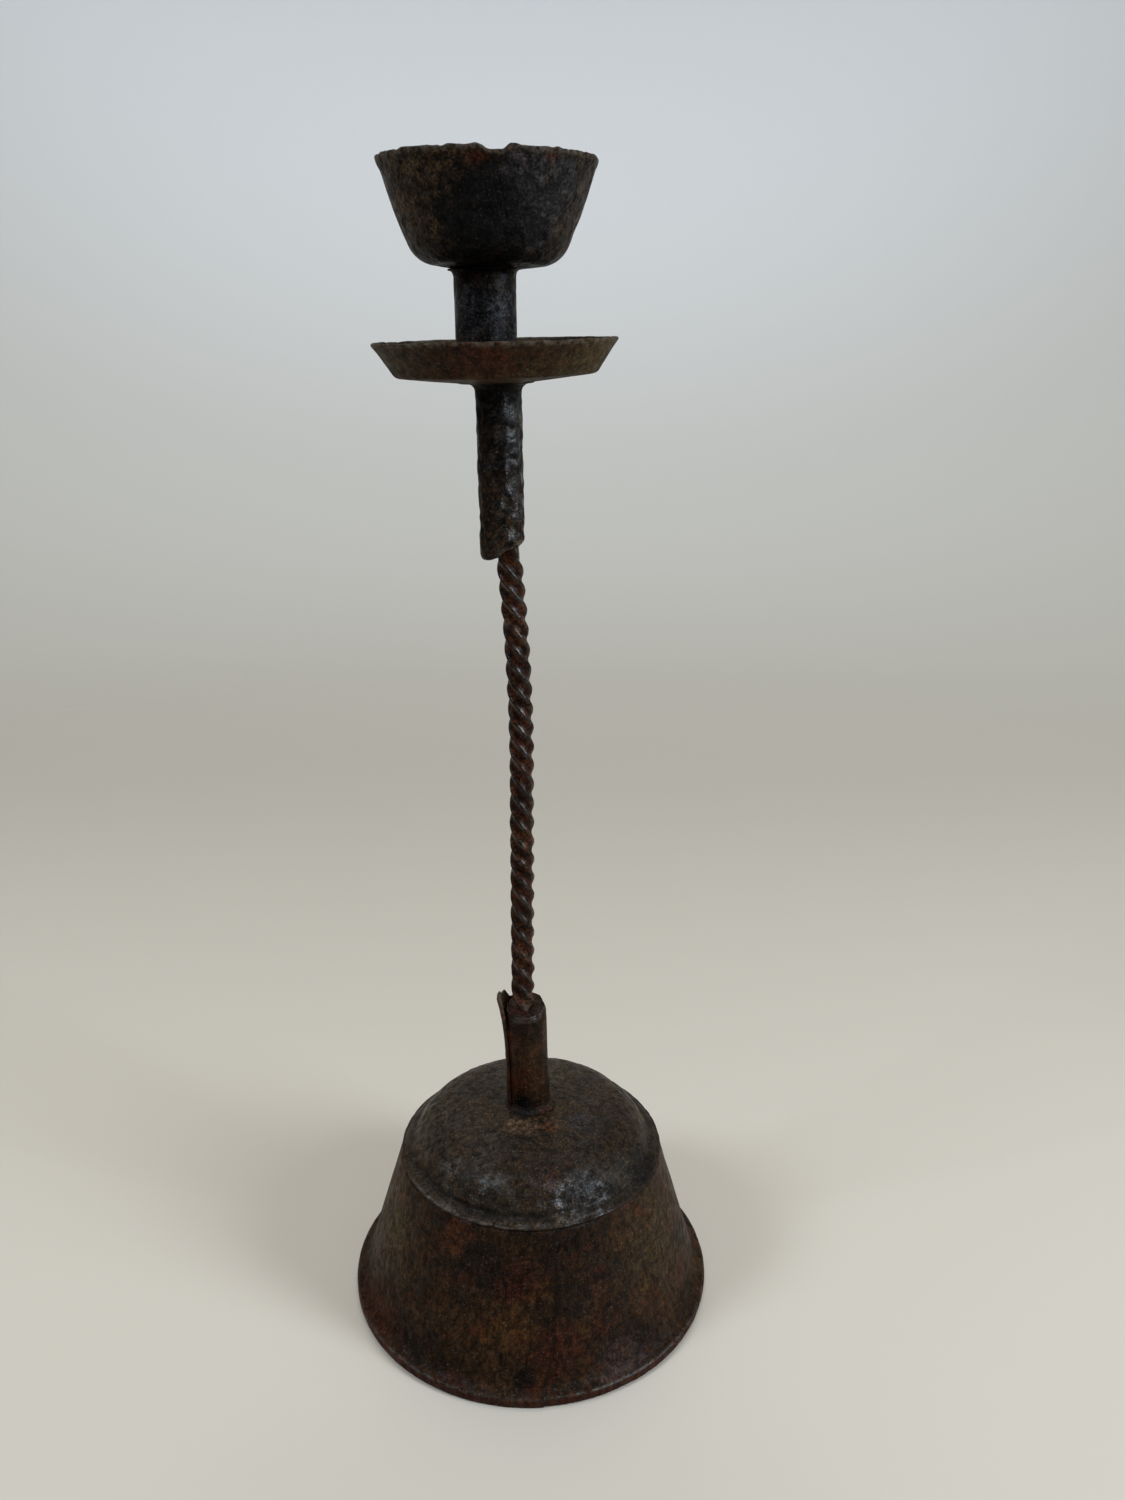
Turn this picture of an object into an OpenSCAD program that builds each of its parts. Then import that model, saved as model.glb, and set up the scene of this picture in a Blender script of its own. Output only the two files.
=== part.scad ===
// Forged and rolled sheet-iron candlestick on a bell-shaped base.
// Millimetres, +Z up. The origin is the centre of the base, on the table.
// The front, -Y, is the side with the seam of the skirt.

/* [Base skirt] */
// Outer radius of the rolled hem that the base stands on
base_r = 80; // [74:0.5:92]
// Height of the skirt, up to the flange that carries the cap
skirt_h = 69; // [58:0.5:80]
// Outer radius of the skirt at its top
skirt_top_r = 57.2; // [50:0.1:62]
// Thickness of the sheet iron in the base
base_sheet = 1.2; // [0.8:0.1:1.8]
// Width of the flange turned in at the top of the skirt
flange_w = 8; // [5:0.5:12]
// Outer radius of the bend between the skirt and its flange
flange_bend = 2.4; // [1.9:0.1:4]
// Outer radius of the rolled hem
hem_r = 2.75; // [2.3:0.05:3.5]
// Radius of the flare where the skirt runs out to the hem
flare_r = 8; // [5:0.5:16]
// Depth worn off the hem where it stands on the table
hem_wear = 0.3; // [0.1:0.1:0.6]
// Clearance between the hem and the wire inside it
wire_clear = 0.1; // [0.05:0.05:0.3]
// How far the lapped edge of the skirt stands proud at its seam
lap_step = 0.7; // [0.4:0.1:1]
// Direction of the seam, from +X
seam_angle = 277; // [255:1:290]

/* [Base cap] */
// How far the cap's brim stands out past the top of the skirt
brim_out = 0; // [-0.5:0.1:0.8]
// Width of the flat of the brim
brim_w = 2.2; // [1.4:0.1:3.5]
// Radius of the shallow dome on top of the cap
crown_r = 230; // [200:5:240]
// Radius of the soft bend at the edge of the dome
crown_bend = 9; // [6:0.5:11]
// Slope just below that bend
shoulder_start = 27; // [22:1:32]
// Radius of the cap's shoulder
shoulder_r = 23; // [20:0.5:25]
// Slope at the foot of the shoulder
shoulder_slope = 74; // [66:1:80]
// Radius of the bend from the shoulder out to the brim
brim_bend = 2.5; // [1.8:0.1:3.5]

/* [Stem sleeve] */
// Place of the sleeve on the cap, off the centre towards +X
sleeve_x = -0.4; // [-3:0.1:3]
// Lean of the sleeve towards -X
sleeve_lean = 2.3; // [0:0.1:4]
// Height of the sleeve above the cap
sleeve_h = 48.8; // [35:0.1:60]
// Inner radius of the sleeve
sleeve_bore = 7.6; // [7.2:0.1:9]
// Thickness of the sleeve's sheet
sleeve_sheet = 1.4; // [1:0.1:1.8]
// Length of the sleeve's tail below the cap
sleeve_tail = 3; // [2:0.5:6]
// Angle over which the sleeve's edges lap
sleeve_lap = 44; // [30:1:60]
// Direction of the sleeve's free edge, from +X
sleeve_edge = 210; // [0:5:355]
// How far the free edge is sprung open at the mouth
flap_spring = 0.9; // [0:0.1:1.6]
// Height of the sprung stretch below the mouth
flap_h = 20; // [10:1:30]
// How far the corner of the free edge stands above the rest of the mouth
corner_rise = 2; // [0:0.1:3]
// Slant of the mouth, higher at the back
mouth_slant = 0.22; // [0:0.01:0.3]

/* [Stem] */
// Width of the square bar across its flats
bar_w = 8.1; // [7:0.1:9]
// Radius of the bar's worn corners
bar_corner = 2; // [1.2:0.1:2.8]
// Length of the stem between the sleeve and the ferrule
stem_len = 193; // [150:1:240]
// Quarter turns of the twist
quarter_turns = 24; // [16:1:30]
// Share by which the twist is tighter at the top and slacker at the foot
twist_ease = 0.06; // [0:0.01:0.12]
// Offset of the stem in the sleeve's mouth, towards +X
stem_off = -1.1; // [-1.2:0.1:1.2]
// Radius of the bend in the upper stem
stem_bend_r = 800; // [700:10:3000]
// Length of the bent stretch below the ferrule
stem_bend_len = 86; // [60:1:110]
// Length of the plain end inside the ferrule
stem_top = 34; // [20:1:45]

/* [Ferrule] */
// Outer radius of the ferrule tube
ferrule_r = 8.9; // [8.7:0.1:11]
// Thickness of the ferrule's sheet
ferrule_sheet = 1.6; // [1.2:0.1:1.8]
// Length of the ferrule
ferrule_h = 61; // [50:0.5:80]
// Lean of the ferrule towards -X
ferrule_lean = 1; // [0:0.1:3]
// Offset of the ferrule from the stem at its mouth, towards +X
ferrule_off = -2.1; // [-2.2:0.1:1]
// Slant of the ferrule's mouth, longer on the -X side
ferrule_slant = 12; // [0:1:14]
// Outer radius of the mouth where it is hammered in towards the stem
crimp_r = 5.5; // [4:0.1:7]
// Angle through which the mouth is hammered in
crimp_turn = 55; // [35:1:60]
// Radius of the flare at the top of the ferrule
ferrule_flare = 2.8; // [2:0.1:4]
// Width of the ferrule's collar under the pan, outside the tube
collar_w = 3.6; // [3:0.1:6]

/* [Drip pan] */
// Outer radius of the drip pan's rim
pan_r = 43.7; // [38:0.1:52]
// Height of the rim above the pan's underside
pan_h = 14.4; // [12.5:0.1:20]
// Thickness of the drip pan's sheet
pan_sheet = 1.4; // [1:0.1:1.8]
// Rise of the pan's floor from its middle, in degrees
pan_rise = 6.5; // [3:0.5:8]
// Lean of the pan's wall from upright
pan_flare = 34; // [20:1:40]
// Outer radius of the bend between floor and wall
pan_bend = 3; // [2.2:0.1:6]
// Tilt of the pan, lower on the -X side
pan_tilt = 1.9; // [0:0.1:3]
// Offset of the pan from the ferrule, towards +X
pan_off = -0.5; // [-0.8:0.1:0.8]

/* [Candle socket] */
// Outer radius of the candle socket
socket_r = 11.1; // [10.8:0.1:13]
// Inner radius of the candle socket
socket_bore = 9.8; // [9:0.1:9.9]
// Height of the socket between the pan's floor and the cup
socket_h = 36.7; // [25:0.1:50]
// Place of the socket on the pan, off its middle towards +X
socket_x = -3.2; // [-5:0.1:3]
// Lean of the socket towards -X
socket_lean = 1; // [0:0.1:3]
// How far the socket's top stands up inside the cup
socket_lip = 1; // [0.5:0.1:2]

/* [Cup] */
// Outer radius of the cup's rim
cup_r = 38; // [33:0.1:46]
// Height of the cup
cup_h = 35.2; // [31:0.1:45]
// Thickness of the cup's sheet
cup_sheet = 1.5; // [1.1:0.1:2]
// Rise of the cup's floor from its middle, in degrees
cup_rise = 8; // [4:0.5:12]
// Outer radius of the bend between floor and wall
cup_bend = 11; // [8:0.5:13]
// Radius of the bulge in the cup's wall
cup_belly_r = 200; // [150:10:400]
// Lean of the cup's wall from upright, just above the bend
cup_flare = 24; // [20:1:27]
// Lean of the cup's wall at its rim
cup_rim_flare = 18; // [15:1:19]
// Offset of the cup from the socket, towards +X
cup_off = 1.5; // [-2:0.1:2]
// Width of the worn notch in the near side of the rim
notch_w = 11.5; // [6:0.5:16]
// Width of the notch at its bottom
notch_floor_w = 3.4; // [2:0.2:5.6]
// Depth of that notch
notch_d = 1.8; // [1:0.1:3.5]
// Direction of the notch, from +X
notch_angle = 276; // [250:1:290]

/* [Joints] */
// Size of the braze fillets at the foot of the sleeve, in the pan and under the cap
braze = 2.4; // [1.6:0.1:2.9]
// Size of the braze fillet under the cup
cup_fillet = 1.7; // [1.2:0.1:2.4]
// Clearance between pieces that fit into each other
fit = 0.15; // [0.1:0.05:0.25]
// Half the opening angle between two wedges round the bar
wedge_split = 44; // [40:1:44]

/* [Hidden] */
$fn = 96;

// Colours of the old iron and the braze
iron_black = [0.16, 0.14, 0.13];
iron_brown = [0.27, 0.19, 0.15];
iron_olive = [0.31, 0.26, 0.19];
iron_rust = [0.34, 0.19, 0.13];
braze_tan = [0.50, 0.36, 0.22];

// Small lengths by which cutters run past what they cut
past = 1;
// Longer than the whole candlestick
far = 600;
// Degrees of arc between two points of a bend
arc_step = 9;

// Geometry of bent sheet

function heading(a) = [cos(a), sin(a)];
function left_of(a) = [-sin(a), cos(a)];
function reversed(v) = [for (i = [len(v) - 1 : -1 : 0]) v[i]];
function steps_for(turn) = max(2, ceil(abs(turn) / arc_step));

// A run is [length, 0] where the sheet is straight, or [radius, turn] where it bends.
// t moves the line to the right of its heading; the bends keep their centres.
function run_radius(run, t) = run[0] + sign(run[1]) * t;
function run_end(p, a, run, t) =
  run[1] == 0
    ? p + run[0] * heading(a)
    : let (side = sign(run[1]) * run_radius(run, t))
      p + side * left_of(a) - side * left_of(a + run[1]);
function run_points(p, a, run, t) =
  run[1] == 0
    ? [p]
    : let (side = sign(run[1]) * run_radius(run, t), n = steps_for(run[1]))
      [for (i = [0 : n - 1]) p + side * left_of(a) - side * left_of(a + run[1] * i / n)];
function line_points(p, a, runs, t, k = 0) =
  k == len(runs)
    ? [p]
    : concat(
        run_points(p, a, runs[k], t),
        line_points(run_end(p, a, runs[k], t), a + runs[k][1], runs, t, k + 1)
      );
function line_end(p, a, runs, k = 0) =
  k == len(runs) ? p : line_end(run_end(p, a, runs[k], 0), a + runs[k][1], runs, k + 1);
function total_turn(runs) = [for (run = runs) run[1]] * [for (run = runs) 1];
function right_side(p, a, t) = p - t * left_of(a);
function sheet(p, a, runs, t) =
  concat(line_points(p, a, runs, 0), reversed(line_points(right_side(p, a, t), a, runs, t)));

// Lengths of the first and last straights, so that bent sheet from p ends at q
function closing_lengths(p, a, bends, q) =
  let (gap = q - line_end(p, a, bends), first = heading(a), last = heading(a + total_turn(bends)))
  [cross(gap, last) / cross(first, last), cross(first, gap) / cross(first, last)];

// Base skirt, along its outer side from the flange down to the hem

foot_z = hem_r - hem_wear;
hem_centre = [base_r - hem_r, foot_z];
hem_angle = 62;
hem_turn = 235;
flare_centre = hem_centre + (hem_r + flare_r) * heading(hem_angle);
skirt_corner = [skirt_top_r, skirt_h];
flare_reach = norm(flare_centre - skirt_corner);
flare_drop = atan2(flare_centre[1] - skirt_h, flare_centre[0] - skirt_top_r);
skirt_lean = flare_drop + acos(flare_r / flare_reach);
flange_turn = 90 - skirt_lean;
flange_trim = flange_bend * tan(flange_turn / 2);
skirt_start = skirt_corner - [flange_w, 0];
skirt_wall = sqrt(flare_reach * flare_reach - flare_r * flare_r) - flange_trim;
skirt_runs = [
  [flange_w - flange_trim, 0],
  [flange_bend, -flange_turn],
  [skirt_wall, 0],
  [flare_r, hem_angle - skirt_lean],
  [hem_r, -hem_turn]
];

// Base cap, along its outer side from the middle out to the brim

cap_r = skirt_top_r + brim_out;
shoulder_reach = shoulder_r * (sin(shoulder_slope) - sin(shoulder_start));
brim_reach = brim_bend * sin(shoulder_slope) + brim_w;
// The dome takes the room that the bends and the brim leave
crown_reach = cap_r - brim_reach - shoulder_reach - crown_bend * sin(shoulder_start);
crown_slope = asin(crown_reach / (crown_r - crown_bend));
cap_bends = [
  [crown_r, -crown_slope],
  [crown_bend, crown_slope - shoulder_start],
  [shoulder_r, shoulder_start - shoulder_slope],
  [brim_bend, shoulder_slope]
];
cap_reach = line_end([0, 0], 0, cap_bends);
cap_runs = concat(cap_bends, [[brim_w, 0]]);
cap_top = skirt_h + base_sheet - cap_reach[1];

// Height of the cap's outer side near its middle
function crown_z(x) = cap_top - crown_r + sqrt(crown_r * crown_r - x * x);

// Places along the candlestick, from the foot up

sleeve_foot = crown_z(sleeve_x);
mouth_x = sleeve_x - sleeve_h * sin(sleeve_lean);
mouth_z = sleeve_foot + sleeve_h * cos(sleeve_lean);
stem_x = mouth_x + stem_off;
lip_z = mouth_z + stem_len;
bend_z = lip_z - stem_bend_len;
bend_slope = stem_bend_len / stem_bend_r;
lip_x = stem_x - stem_bend_len * bend_slope / 2;
ferrule_x = lip_x + ferrule_off;
// The crimp starts a sheet's thickness below the mouth, which is then cut on its slant
crimp_start = [ferrule_r - crimp_r * (1 - cos(crimp_turn)), -ferrule_sheet];
crimp_h = crimp_r * sin(crimp_turn) - ferrule_sheet;
pan_x = ferrule_x - ferrule_h * sin(ferrule_lean) + pan_off;
pan_z = lip_z + ferrule_h * cos(ferrule_lean);

// Height of the pan's floor under the edge of the socket, on its -X and +X sides.
// The socket's foot is cut square and stands on the higher one.
function floor_under(side) =
  max(0, side * socket_x + socket_r - ferrule_r) * tan(pan_rise)
  + side * socket_r * tan(pan_tilt - socket_lean);
socket_seat = fit / 2 + max(floor_under(-1), floor_under(1));

// Frames: each module puts its children where that piece stands

module at_sleeve() {
  translate([sleeve_x, 0, sleeve_foot])
    rotate([0, -sleeve_lean, 0])
      children();
}

module at_ferrule() {
  translate([ferrule_x, 0, lip_z])
    rotate([0, -ferrule_lean, 0])
      children();
}

module at_pan() {
  translate([pan_x, 0, pan_z])
    rotate([0, -pan_tilt, 0])
      children();
}

module at_socket() {
  at_pan()
    translate([socket_x, 0, pan_sheet])
      rotate([0, pan_tilt - socket_lean, 0])
        children();
}

module at_cup() {
  at_socket()
    translate([cup_off, 0, socket_h])
      rotate([0, socket_lean, 0])
        children();
}

// A dished bowl of bent sheet: a floor that rises outwards, a bend and a flaring wall.
// bends are the runs between the floor and the top of the wall.

function bowl_runs(middle, rim, rise, bends) =
  let (both = closing_lengths([middle, 0], rise, bends, rim))
  concat([[both[0], 0]], bends, [[both[1], 0]]);
function bowl_outline(middle, rise, runs, t) =
  concat(
    [[0, 0]],
    line_points([middle, 0], rise, runs, 0),
    reversed(line_points(right_side([middle, 0], rise, -t), rise, runs, -t)),
    [[0, t]]
  );
// The underside of such a bowl, from its middle out to radius reach, raised by lift
function bowl_line(middle, reach, rise, lift) =
  [[0, lift], [middle, lift], [reach, lift + (reach - middle) * tan(rise)]];

// Everything above the underside of a bowl, lowered by drop
module above_bowl(middle, reach, rise, drop) {
  rotate_extrude()
    polygon(concat(bowl_line(middle, reach, rise, -drop), [[reach, far], [0, far]]));
}

// Everything below the floor that a bowl of sheet t shows above, raised by lift
module below_bowl(middle, reach, rise, t, lift) {
  rotate_extrude()
    polygon(concat(bowl_line(middle, reach, rise, t + lift), [[reach, -far], [0, -far]]));
}

module pan_shell() {
  bends = [[pan_bend, 90 - pan_flare - pan_rise]];
  runs = bowl_runs(ferrule_r, [pan_r, pan_h], pan_rise, bends);
  rotate_extrude()
    polygon(bowl_outline(ferrule_r, pan_rise, runs, pan_sheet));
}

module pan_bed(lift) {
  below_bowl(ferrule_r, pan_r, pan_rise, pan_sheet, lift);
}

module cup_shell() {
  bends = [
    [cup_bend, 90 - cup_flare - cup_rise],
    [cup_belly_r, cup_flare - cup_rim_flare]
  ];
  runs = bowl_runs(socket_r, [cup_r, cup_h], cup_rise, bends);
  rotate_extrude()
    polygon(bowl_outline(socket_r, cup_rise, runs, cup_sheet));
}

// Everything below the outer side of the cap's dome, raised by lift
module below_crown(lift) {
  rotate_extrude()
    polygon(concat(
      line_points([0, cap_top + lift], 0, [cap_bends[0]], 0),
      [[crown_r * sin(crown_slope), -far], [0, -far]]
    ));
}

// Share of a fillet's size that its hollow face takes
fillet_hollow = 0.92;

// A ring of braze with a hollow face, round a post of radius r, standing on z = 0
module fillet_ring(r, leg, sunk) {
  rotate_extrude()
    difference() {
      translate([r, -sunk])
        square([leg, leg + sunk]);
      translate([r + leg, leg])
        circle(r = leg * fillet_hollow);
    }
}

// Twisted square bar

bar_flat = bar_w / 2;
corner_steps = 2;
twist_end = 2;
twist_low = mouth_z - bar_w * mouth_slant - twist_end;
twist_high = lip_z - twist_end;
rings_per_quarter = 6;
twist_rings = quarter_turns * rings_per_quarter;
stem_foot_z = sleeve_foot + fit;

// x of the bar's middle at height z: straight, then bent, then straight in the ferrule
function bar_x(z) =
  z < bend_z
    ? stem_x
    : z < lip_z
      ? stem_x - (z - bend_z) * (z - bend_z) / (2 * stem_bend_r)
      : lip_x - (z - lip_z) * bend_slope;
// Turn of the section at height z
function bar_turn(z) =
  let (u = min(1, max(0, (z - twist_low) / (twist_high - twist_low))))
  -90 * quarter_turns * (u - twist_ease * u * (1 - u));
// The section is a rounded square with a point in the middle of each flat
bar_section = [
  for (k = [0 : 3])
    for (i = [0 : corner_steps + 1])
      i <= corner_steps
        ? (bar_flat - bar_corner) * sqrt(2) * heading(90 * k + 45)
          + bar_corner * heading(90 * k + 90 * i / corner_steps)
        : bar_flat * heading(90 * k + 90)
];
bar_heights = concat(
  [stem_foot_z],
  [for (i = [0 : twist_rings]) twist_low + (twist_high - twist_low) * i / twist_rings],
  [lip_z + stem_top]
);

function turned(p, a) = [p[0] * cos(a) - p[1] * sin(a), p[0] * sin(a) + p[1] * cos(a)];

// The bar, with a ring of points at each of its heights
module twisted_bar() {
  n = len(bar_section);
  m = len(bar_heights);
  points = [
    for (z = bar_heights)
      for (p = bar_section)
        let (q = turned(p, bar_turn(z)))
        [bar_x(z) + q[0], q[1], z]
  ];
  sides = [
    for (j = [0 : m - 2])
      for (i = [0 : n - 1])
        let (a = j * n + i, b = j * n + (i + 1) % n)
        each [[a, a + n, b], [b, a + n, b + n]]
  ];
  middles = [for (z = [bar_heights[0], bar_heights[m - 1]]) [bar_x(z), 0, z]];
  ends = [
    for (i = [0 : n - 1])
      let (k = (i + 1) % n, top = (m - 1) * n)
      each [[m * n, i, k], [m * n + 1, top + k, top + i]]
  ];
  polyhedron(concat(points, middles), concat(sides, ends));
}

// Rolled sleeve with its free edge sprung open

sleeve_arc = 360 + sleeve_lap;
sleeve_cuts = 44;
sleeve_levels = 8;
lap_runout = 60;
flap_arc = 90;
corner_arc = 40;

function smooth(u) = let (v = min(1, max(0, u))) v * v * (3 - 2 * v);
// Inner radius of the sheet at s degrees from its free edge and height z
function sleeve_inner(s, z) =
  sleeve_bore
  + (sleeve_sheet + fit) * smooth(1 - (s - sleeve_lap) / lap_runout)
  + flap_spring * smooth(1 - s / flap_arc) * pow(max(0, 1 - (sleeve_h - z) / flap_h), 2);
// Height of the sheet's upper edge at s degrees: on the mouth's slant, with a raised corner
function sleeve_edge_z(s) =
  sleeve_h
  + mouth_slant * sleeve_bore * sin(sleeve_edge - s)
  + corner_rise * smooth(1 - s / corner_arc);
// Outline of the sleeve at its foot, grown by extra
sleeve_foot_outline = [for (s = [0 : 12 : 360]) [s, sleeve_inner(s, 0) + sleeve_sheet]];
module sleeve_print(extra) {
  translate([0, 0, -far / 2])
    linear_extrude(far)
      polygon([for (p = sleeve_foot_outline) (p[1] + extra) * heading(sleeve_edge - p[0])]);
}

function sleeve_point(s, level, t) =
  let (a = sleeve_edge - s, foot = -sleeve_tail - base_sheet)
  let (z = foot + (sleeve_edge_z(s) - foot) * level)
  concat((sleeve_inner(s, z) + t) * heading(a), [z]);

module sleeve_sheet_roll() {
  n = sleeve_cuts + 1;
  row = 2 * n;
  points = [
    for (j = [0 : sleeve_levels])
      each concat(
        [for (i = [0 : sleeve_cuts]) sleeve_point(sleeve_arc * i / sleeve_cuts, j / sleeve_levels, 0)],
        [
          for (i = [sleeve_cuts : -1 : 0])
            sleeve_point(sleeve_arc * i / sleeve_cuts, j / sleeve_levels, sleeve_sheet)
        ]
      )
  ];
  sides = [
    for (j = [0 : sleeve_levels - 1])
      for (i = [0 : row - 1])
        let (a = j * row + i, b = j * row + (i + 1) % row)
        each [[a, a + row, b], [b, a + row, b + row]]
  ];
  ends = [
    for (i = [0 : sleeve_cuts - 1])
      let (c = i + 1, d = row - 1 - i, e = row - 2 - i, top = sleeve_levels * row)
      each [[i, c, d], [c, e, d], [top + i, top + d, top + c], [top + c, top + d, top + e]]
  ];
  polyhedron(points, concat(sides, ends));
}

// Wedges driven between a square bar and a round bore, one on each side in sides

module wedges(bore, from, to, sides) {
  for (k = sides)
    rotate(90 * k)
      translate([0, 0, from])
        linear_extrude(to - from)
          intersection() {
            circle(r = bore);
            polygon([
              bar_flat * [1, tan(wedge_split)] + [fit, 0],
              bar_flat * [1, -tan(wedge_split)] + [fit, 0],
              2 * bore * [1, -tan(wedge_split)],
              2 * bore * [1, tan(wedge_split)]
            ]);
          }
}

module cup() {
  color(iron_black)
    difference() {
      at_cup()
        cup_shell();
      at_socket()
        cylinder(r = socket_r + fit, h = far);
      at_cup()
        rotate(notch_angle)
          translate([cup_r, 0, cup_h])
            rotate([0, -90, 0])
              linear_extrude(cup_r, center = true)
                polygon([
                  [-notch_d, -notch_floor_w / 2],
                  [-notch_d, notch_floor_w / 2],
                  [past, notch_w / 2 + past],
                  [past, -notch_w / 2 - past]
                ]);
    }
}

module cup_braze() {
  color(iron_black)
    difference() {
      at_socket()
        translate([0, 0, socket_h])
          mirror([0, 0, 1])
            fillet_ring(socket_r + fit / 2, cup_fillet, cup_fillet);
      at_cup()
        above_bowl(socket_r, cup_r, cup_rise, fit / 2);
    }
}

module candle_socket() {
  color(iron_black)
    at_socket()
      difference() {
        translate([0, 0, socket_seat])
          cylinder(r = socket_r, h = socket_h + cup_sheet + socket_lip - socket_seat);
        cylinder(r = socket_bore, h = far);
      }
}

module socket_braze() {
  color(braze_tan)
    difference() {
      at_socket()
        fillet_ring(socket_r + fit / 2, braze, braze);
      at_pan()
        pan_bed(fit / 2);
    }
}

module drip_pan() {
  color(iron_olive)
    at_pan()
      pan_shell();
}

module ferrule() {
  collar = [[ferrule_flare, pan_rise - 90]];
  collar_r = ferrule_r + collar_w;
  spare = fit + collar_r * tan(abs(pan_tilt - ferrule_lean));
  rim = [collar_r, ferrule_h + collar_w * tan(pan_rise) + spare];
  both = closing_lengths([ferrule_r, crimp_h], 90, collar, rim);
  runs = concat([[crimp_r, crimp_turn], [both[0], 0]], collar, [[both[1], 0]]);
  color(iron_black)
    difference() {
      at_ferrule()
        rotate_extrude()
          polygon(sheet(crimp_start, 90 - crimp_turn, runs, -ferrule_sheet));
      at_ferrule()
        translate([-ferrule_r, 0, 0])
          rotate([0, -ferrule_slant, 0])
            translate([-far / 2, -far / 2, -far])
              cube([far, far, far]);
      at_pan()
        above_bowl(ferrule_r, pan_r, pan_rise, fit / 2);
    }
}

module ferrule_wedges() {
  color(iron_rust)
    intersection() {
      at_ferrule()
        translate([0, 0, crimp_h + fit])
          cylinder(r = ferrule_r - ferrule_sheet - fit, h = stem_top - crimp_h - fit);
      translate([lip_x, 0, lip_z])
        rotate([0, -atan(bend_slope), 0])
          wedges(2 * ferrule_r, 0, stem_top, [1, 2, 3]);
    }
}

module stem() {
  color(iron_brown)
    twisted_bar();
}

module stem_sleeve() {
  color(iron_brown)
    at_sleeve()
      sleeve_sheet_roll();
}

module sleeve_wedges() {
  color(iron_rust)
    intersection() {
      at_sleeve()
        cylinder(r = sleeve_bore - fit, h = sleeve_h - 2 * sleeve_bore * mouth_slant);
      translate([stem_x, 0, sleeve_foot + fit])
        wedges(2 * sleeve_bore, past, sleeve_h, [0, 1, 2, 3]);
    }
}

module sleeve_braze() {
  color(braze_tan)
    difference() {
      at_sleeve()
        fillet_ring(sleeve_bore + sleeve_sheet, braze, braze);
      at_sleeve()
        sleeve_print(fit / 2);
      below_crown(fit / 2);
    }
}

module base_cap() {
  color(iron_brown)
    difference() {
      rotate_extrude()
        polygon(sheet([0, cap_top], 0, cap_runs, base_sheet));
      at_sleeve()
        sleeve_print(fit);
    }
}

module cap_braze() {
  color(braze_tan)
    translate([0, 0, skirt_h])
      mirror([0, 0, 1])
        rotate_extrude()
          polygon([
            [skirt_start[0] - fit, 0],
            [skirt_start[0] - fit - braze, 0],
            [skirt_start[0] - fit, base_sheet]
          ]);
}

// A ring rolled from one strip that laps over itself at the seam. It is drawn as a
// spiral of two half rings: the second is wider by half the step, and its middle lies
// that much nearer the seam, so the halves meet opposite the seam and step at it.
module lapped_ring() {
  shift = lap_step / 2;
  rotate(seam_angle) {
    rotate_extrude(angle = 180)
      children();
    translate([shift, 0, 0])
      rotate(180)
        rotate_extrude(angle = 180)
          translate([shift, 0])
            children();
  }
}

module base_skirt() {
  color(iron_brown)
    difference() {
      lapped_ring()
        polygon(sheet(skirt_start, 0, skirt_runs, base_sheet));
      translate([0, 0, -far])
        cylinder(r = far, h = far);
    }
}

module rim_wire() {
  color(iron_black)
    lapped_ring()
      translate(hem_centre)
        circle(r = hem_r - base_sheet - wire_clear);
}

cup();
cup_braze();
candle_socket();
socket_braze();
drip_pan();
ferrule();
ferrule_wedges();
stem();
stem_sleeve();
sleeve_wedges();
sleeve_braze();
base_cap();
cap_braze();
base_skirt();
rim_wire();
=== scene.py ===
"""The looks of the old iron candlestick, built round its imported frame.

Lengths here are millimetres until a mesh is made, which is in metres. Angles are degrees.
An angle round the candlestick is measured from +X towards +Y, so that the front, -Y, is at 270.
"""

import math

import bpy
import numpy as np
from mathutils import Matrix, Vector


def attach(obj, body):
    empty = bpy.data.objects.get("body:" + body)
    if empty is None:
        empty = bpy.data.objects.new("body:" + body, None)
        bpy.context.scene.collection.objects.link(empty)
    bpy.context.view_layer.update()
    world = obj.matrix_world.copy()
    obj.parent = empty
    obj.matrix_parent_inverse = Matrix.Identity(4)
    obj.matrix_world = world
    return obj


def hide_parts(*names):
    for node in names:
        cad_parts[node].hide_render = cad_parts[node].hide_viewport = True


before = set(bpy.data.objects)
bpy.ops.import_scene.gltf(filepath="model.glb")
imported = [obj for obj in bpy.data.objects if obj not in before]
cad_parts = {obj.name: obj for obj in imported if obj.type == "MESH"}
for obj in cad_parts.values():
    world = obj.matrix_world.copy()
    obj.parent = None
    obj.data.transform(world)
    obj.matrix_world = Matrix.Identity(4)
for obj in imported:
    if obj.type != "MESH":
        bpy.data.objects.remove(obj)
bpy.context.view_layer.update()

MM = 0.001
FRONT = 270

# Driving sizes, as on the frame

BASE_R = 80.0
SKIRT_H = 69.0
SKIRT_TOP_R = 57.2
BASE_SHEET = 1.2
FLANGE_W = 8.0
FLANGE_BEND = 2.4
HEM_R = 2.75
HEM_WEAR = 0.3
HEM_ANGLE = 62.0
HEM_TURN = 235.0
FLARE_R = 8.0
LAP_STEP = 0.45

BRIM_OUT = 0.0
BRIM_W = 2.2
CROWN_R = 230.0
CROWN_BEND = 9.0
SHOULDER_START = 27.0
SHOULDER_R = 23.0
SHOULDER_SLOPE = 74.0
BRIM_BEND = 2.5

SLEEVE_X = -0.4
SLEEVE_LEAN = 2.3
SLEEVE_H = 48.8
SLEEVE_BORE = 7.6
SLEEVE_SHEET = 1.4
SLEEVE_TAIL = 3.0
SLEEVE_LAP = 44.0
SLEEVE_EDGE = 210.0
FLAP_SPRING = 0.9
FLAP_H = 20.0
FLAP_ARC = 90.0
CORNER_RISE = 2.0
CORNER_ARC = 40.0
LAP_RUNOUT = 60.0
MOUTH_SLANT = 0.22

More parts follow.
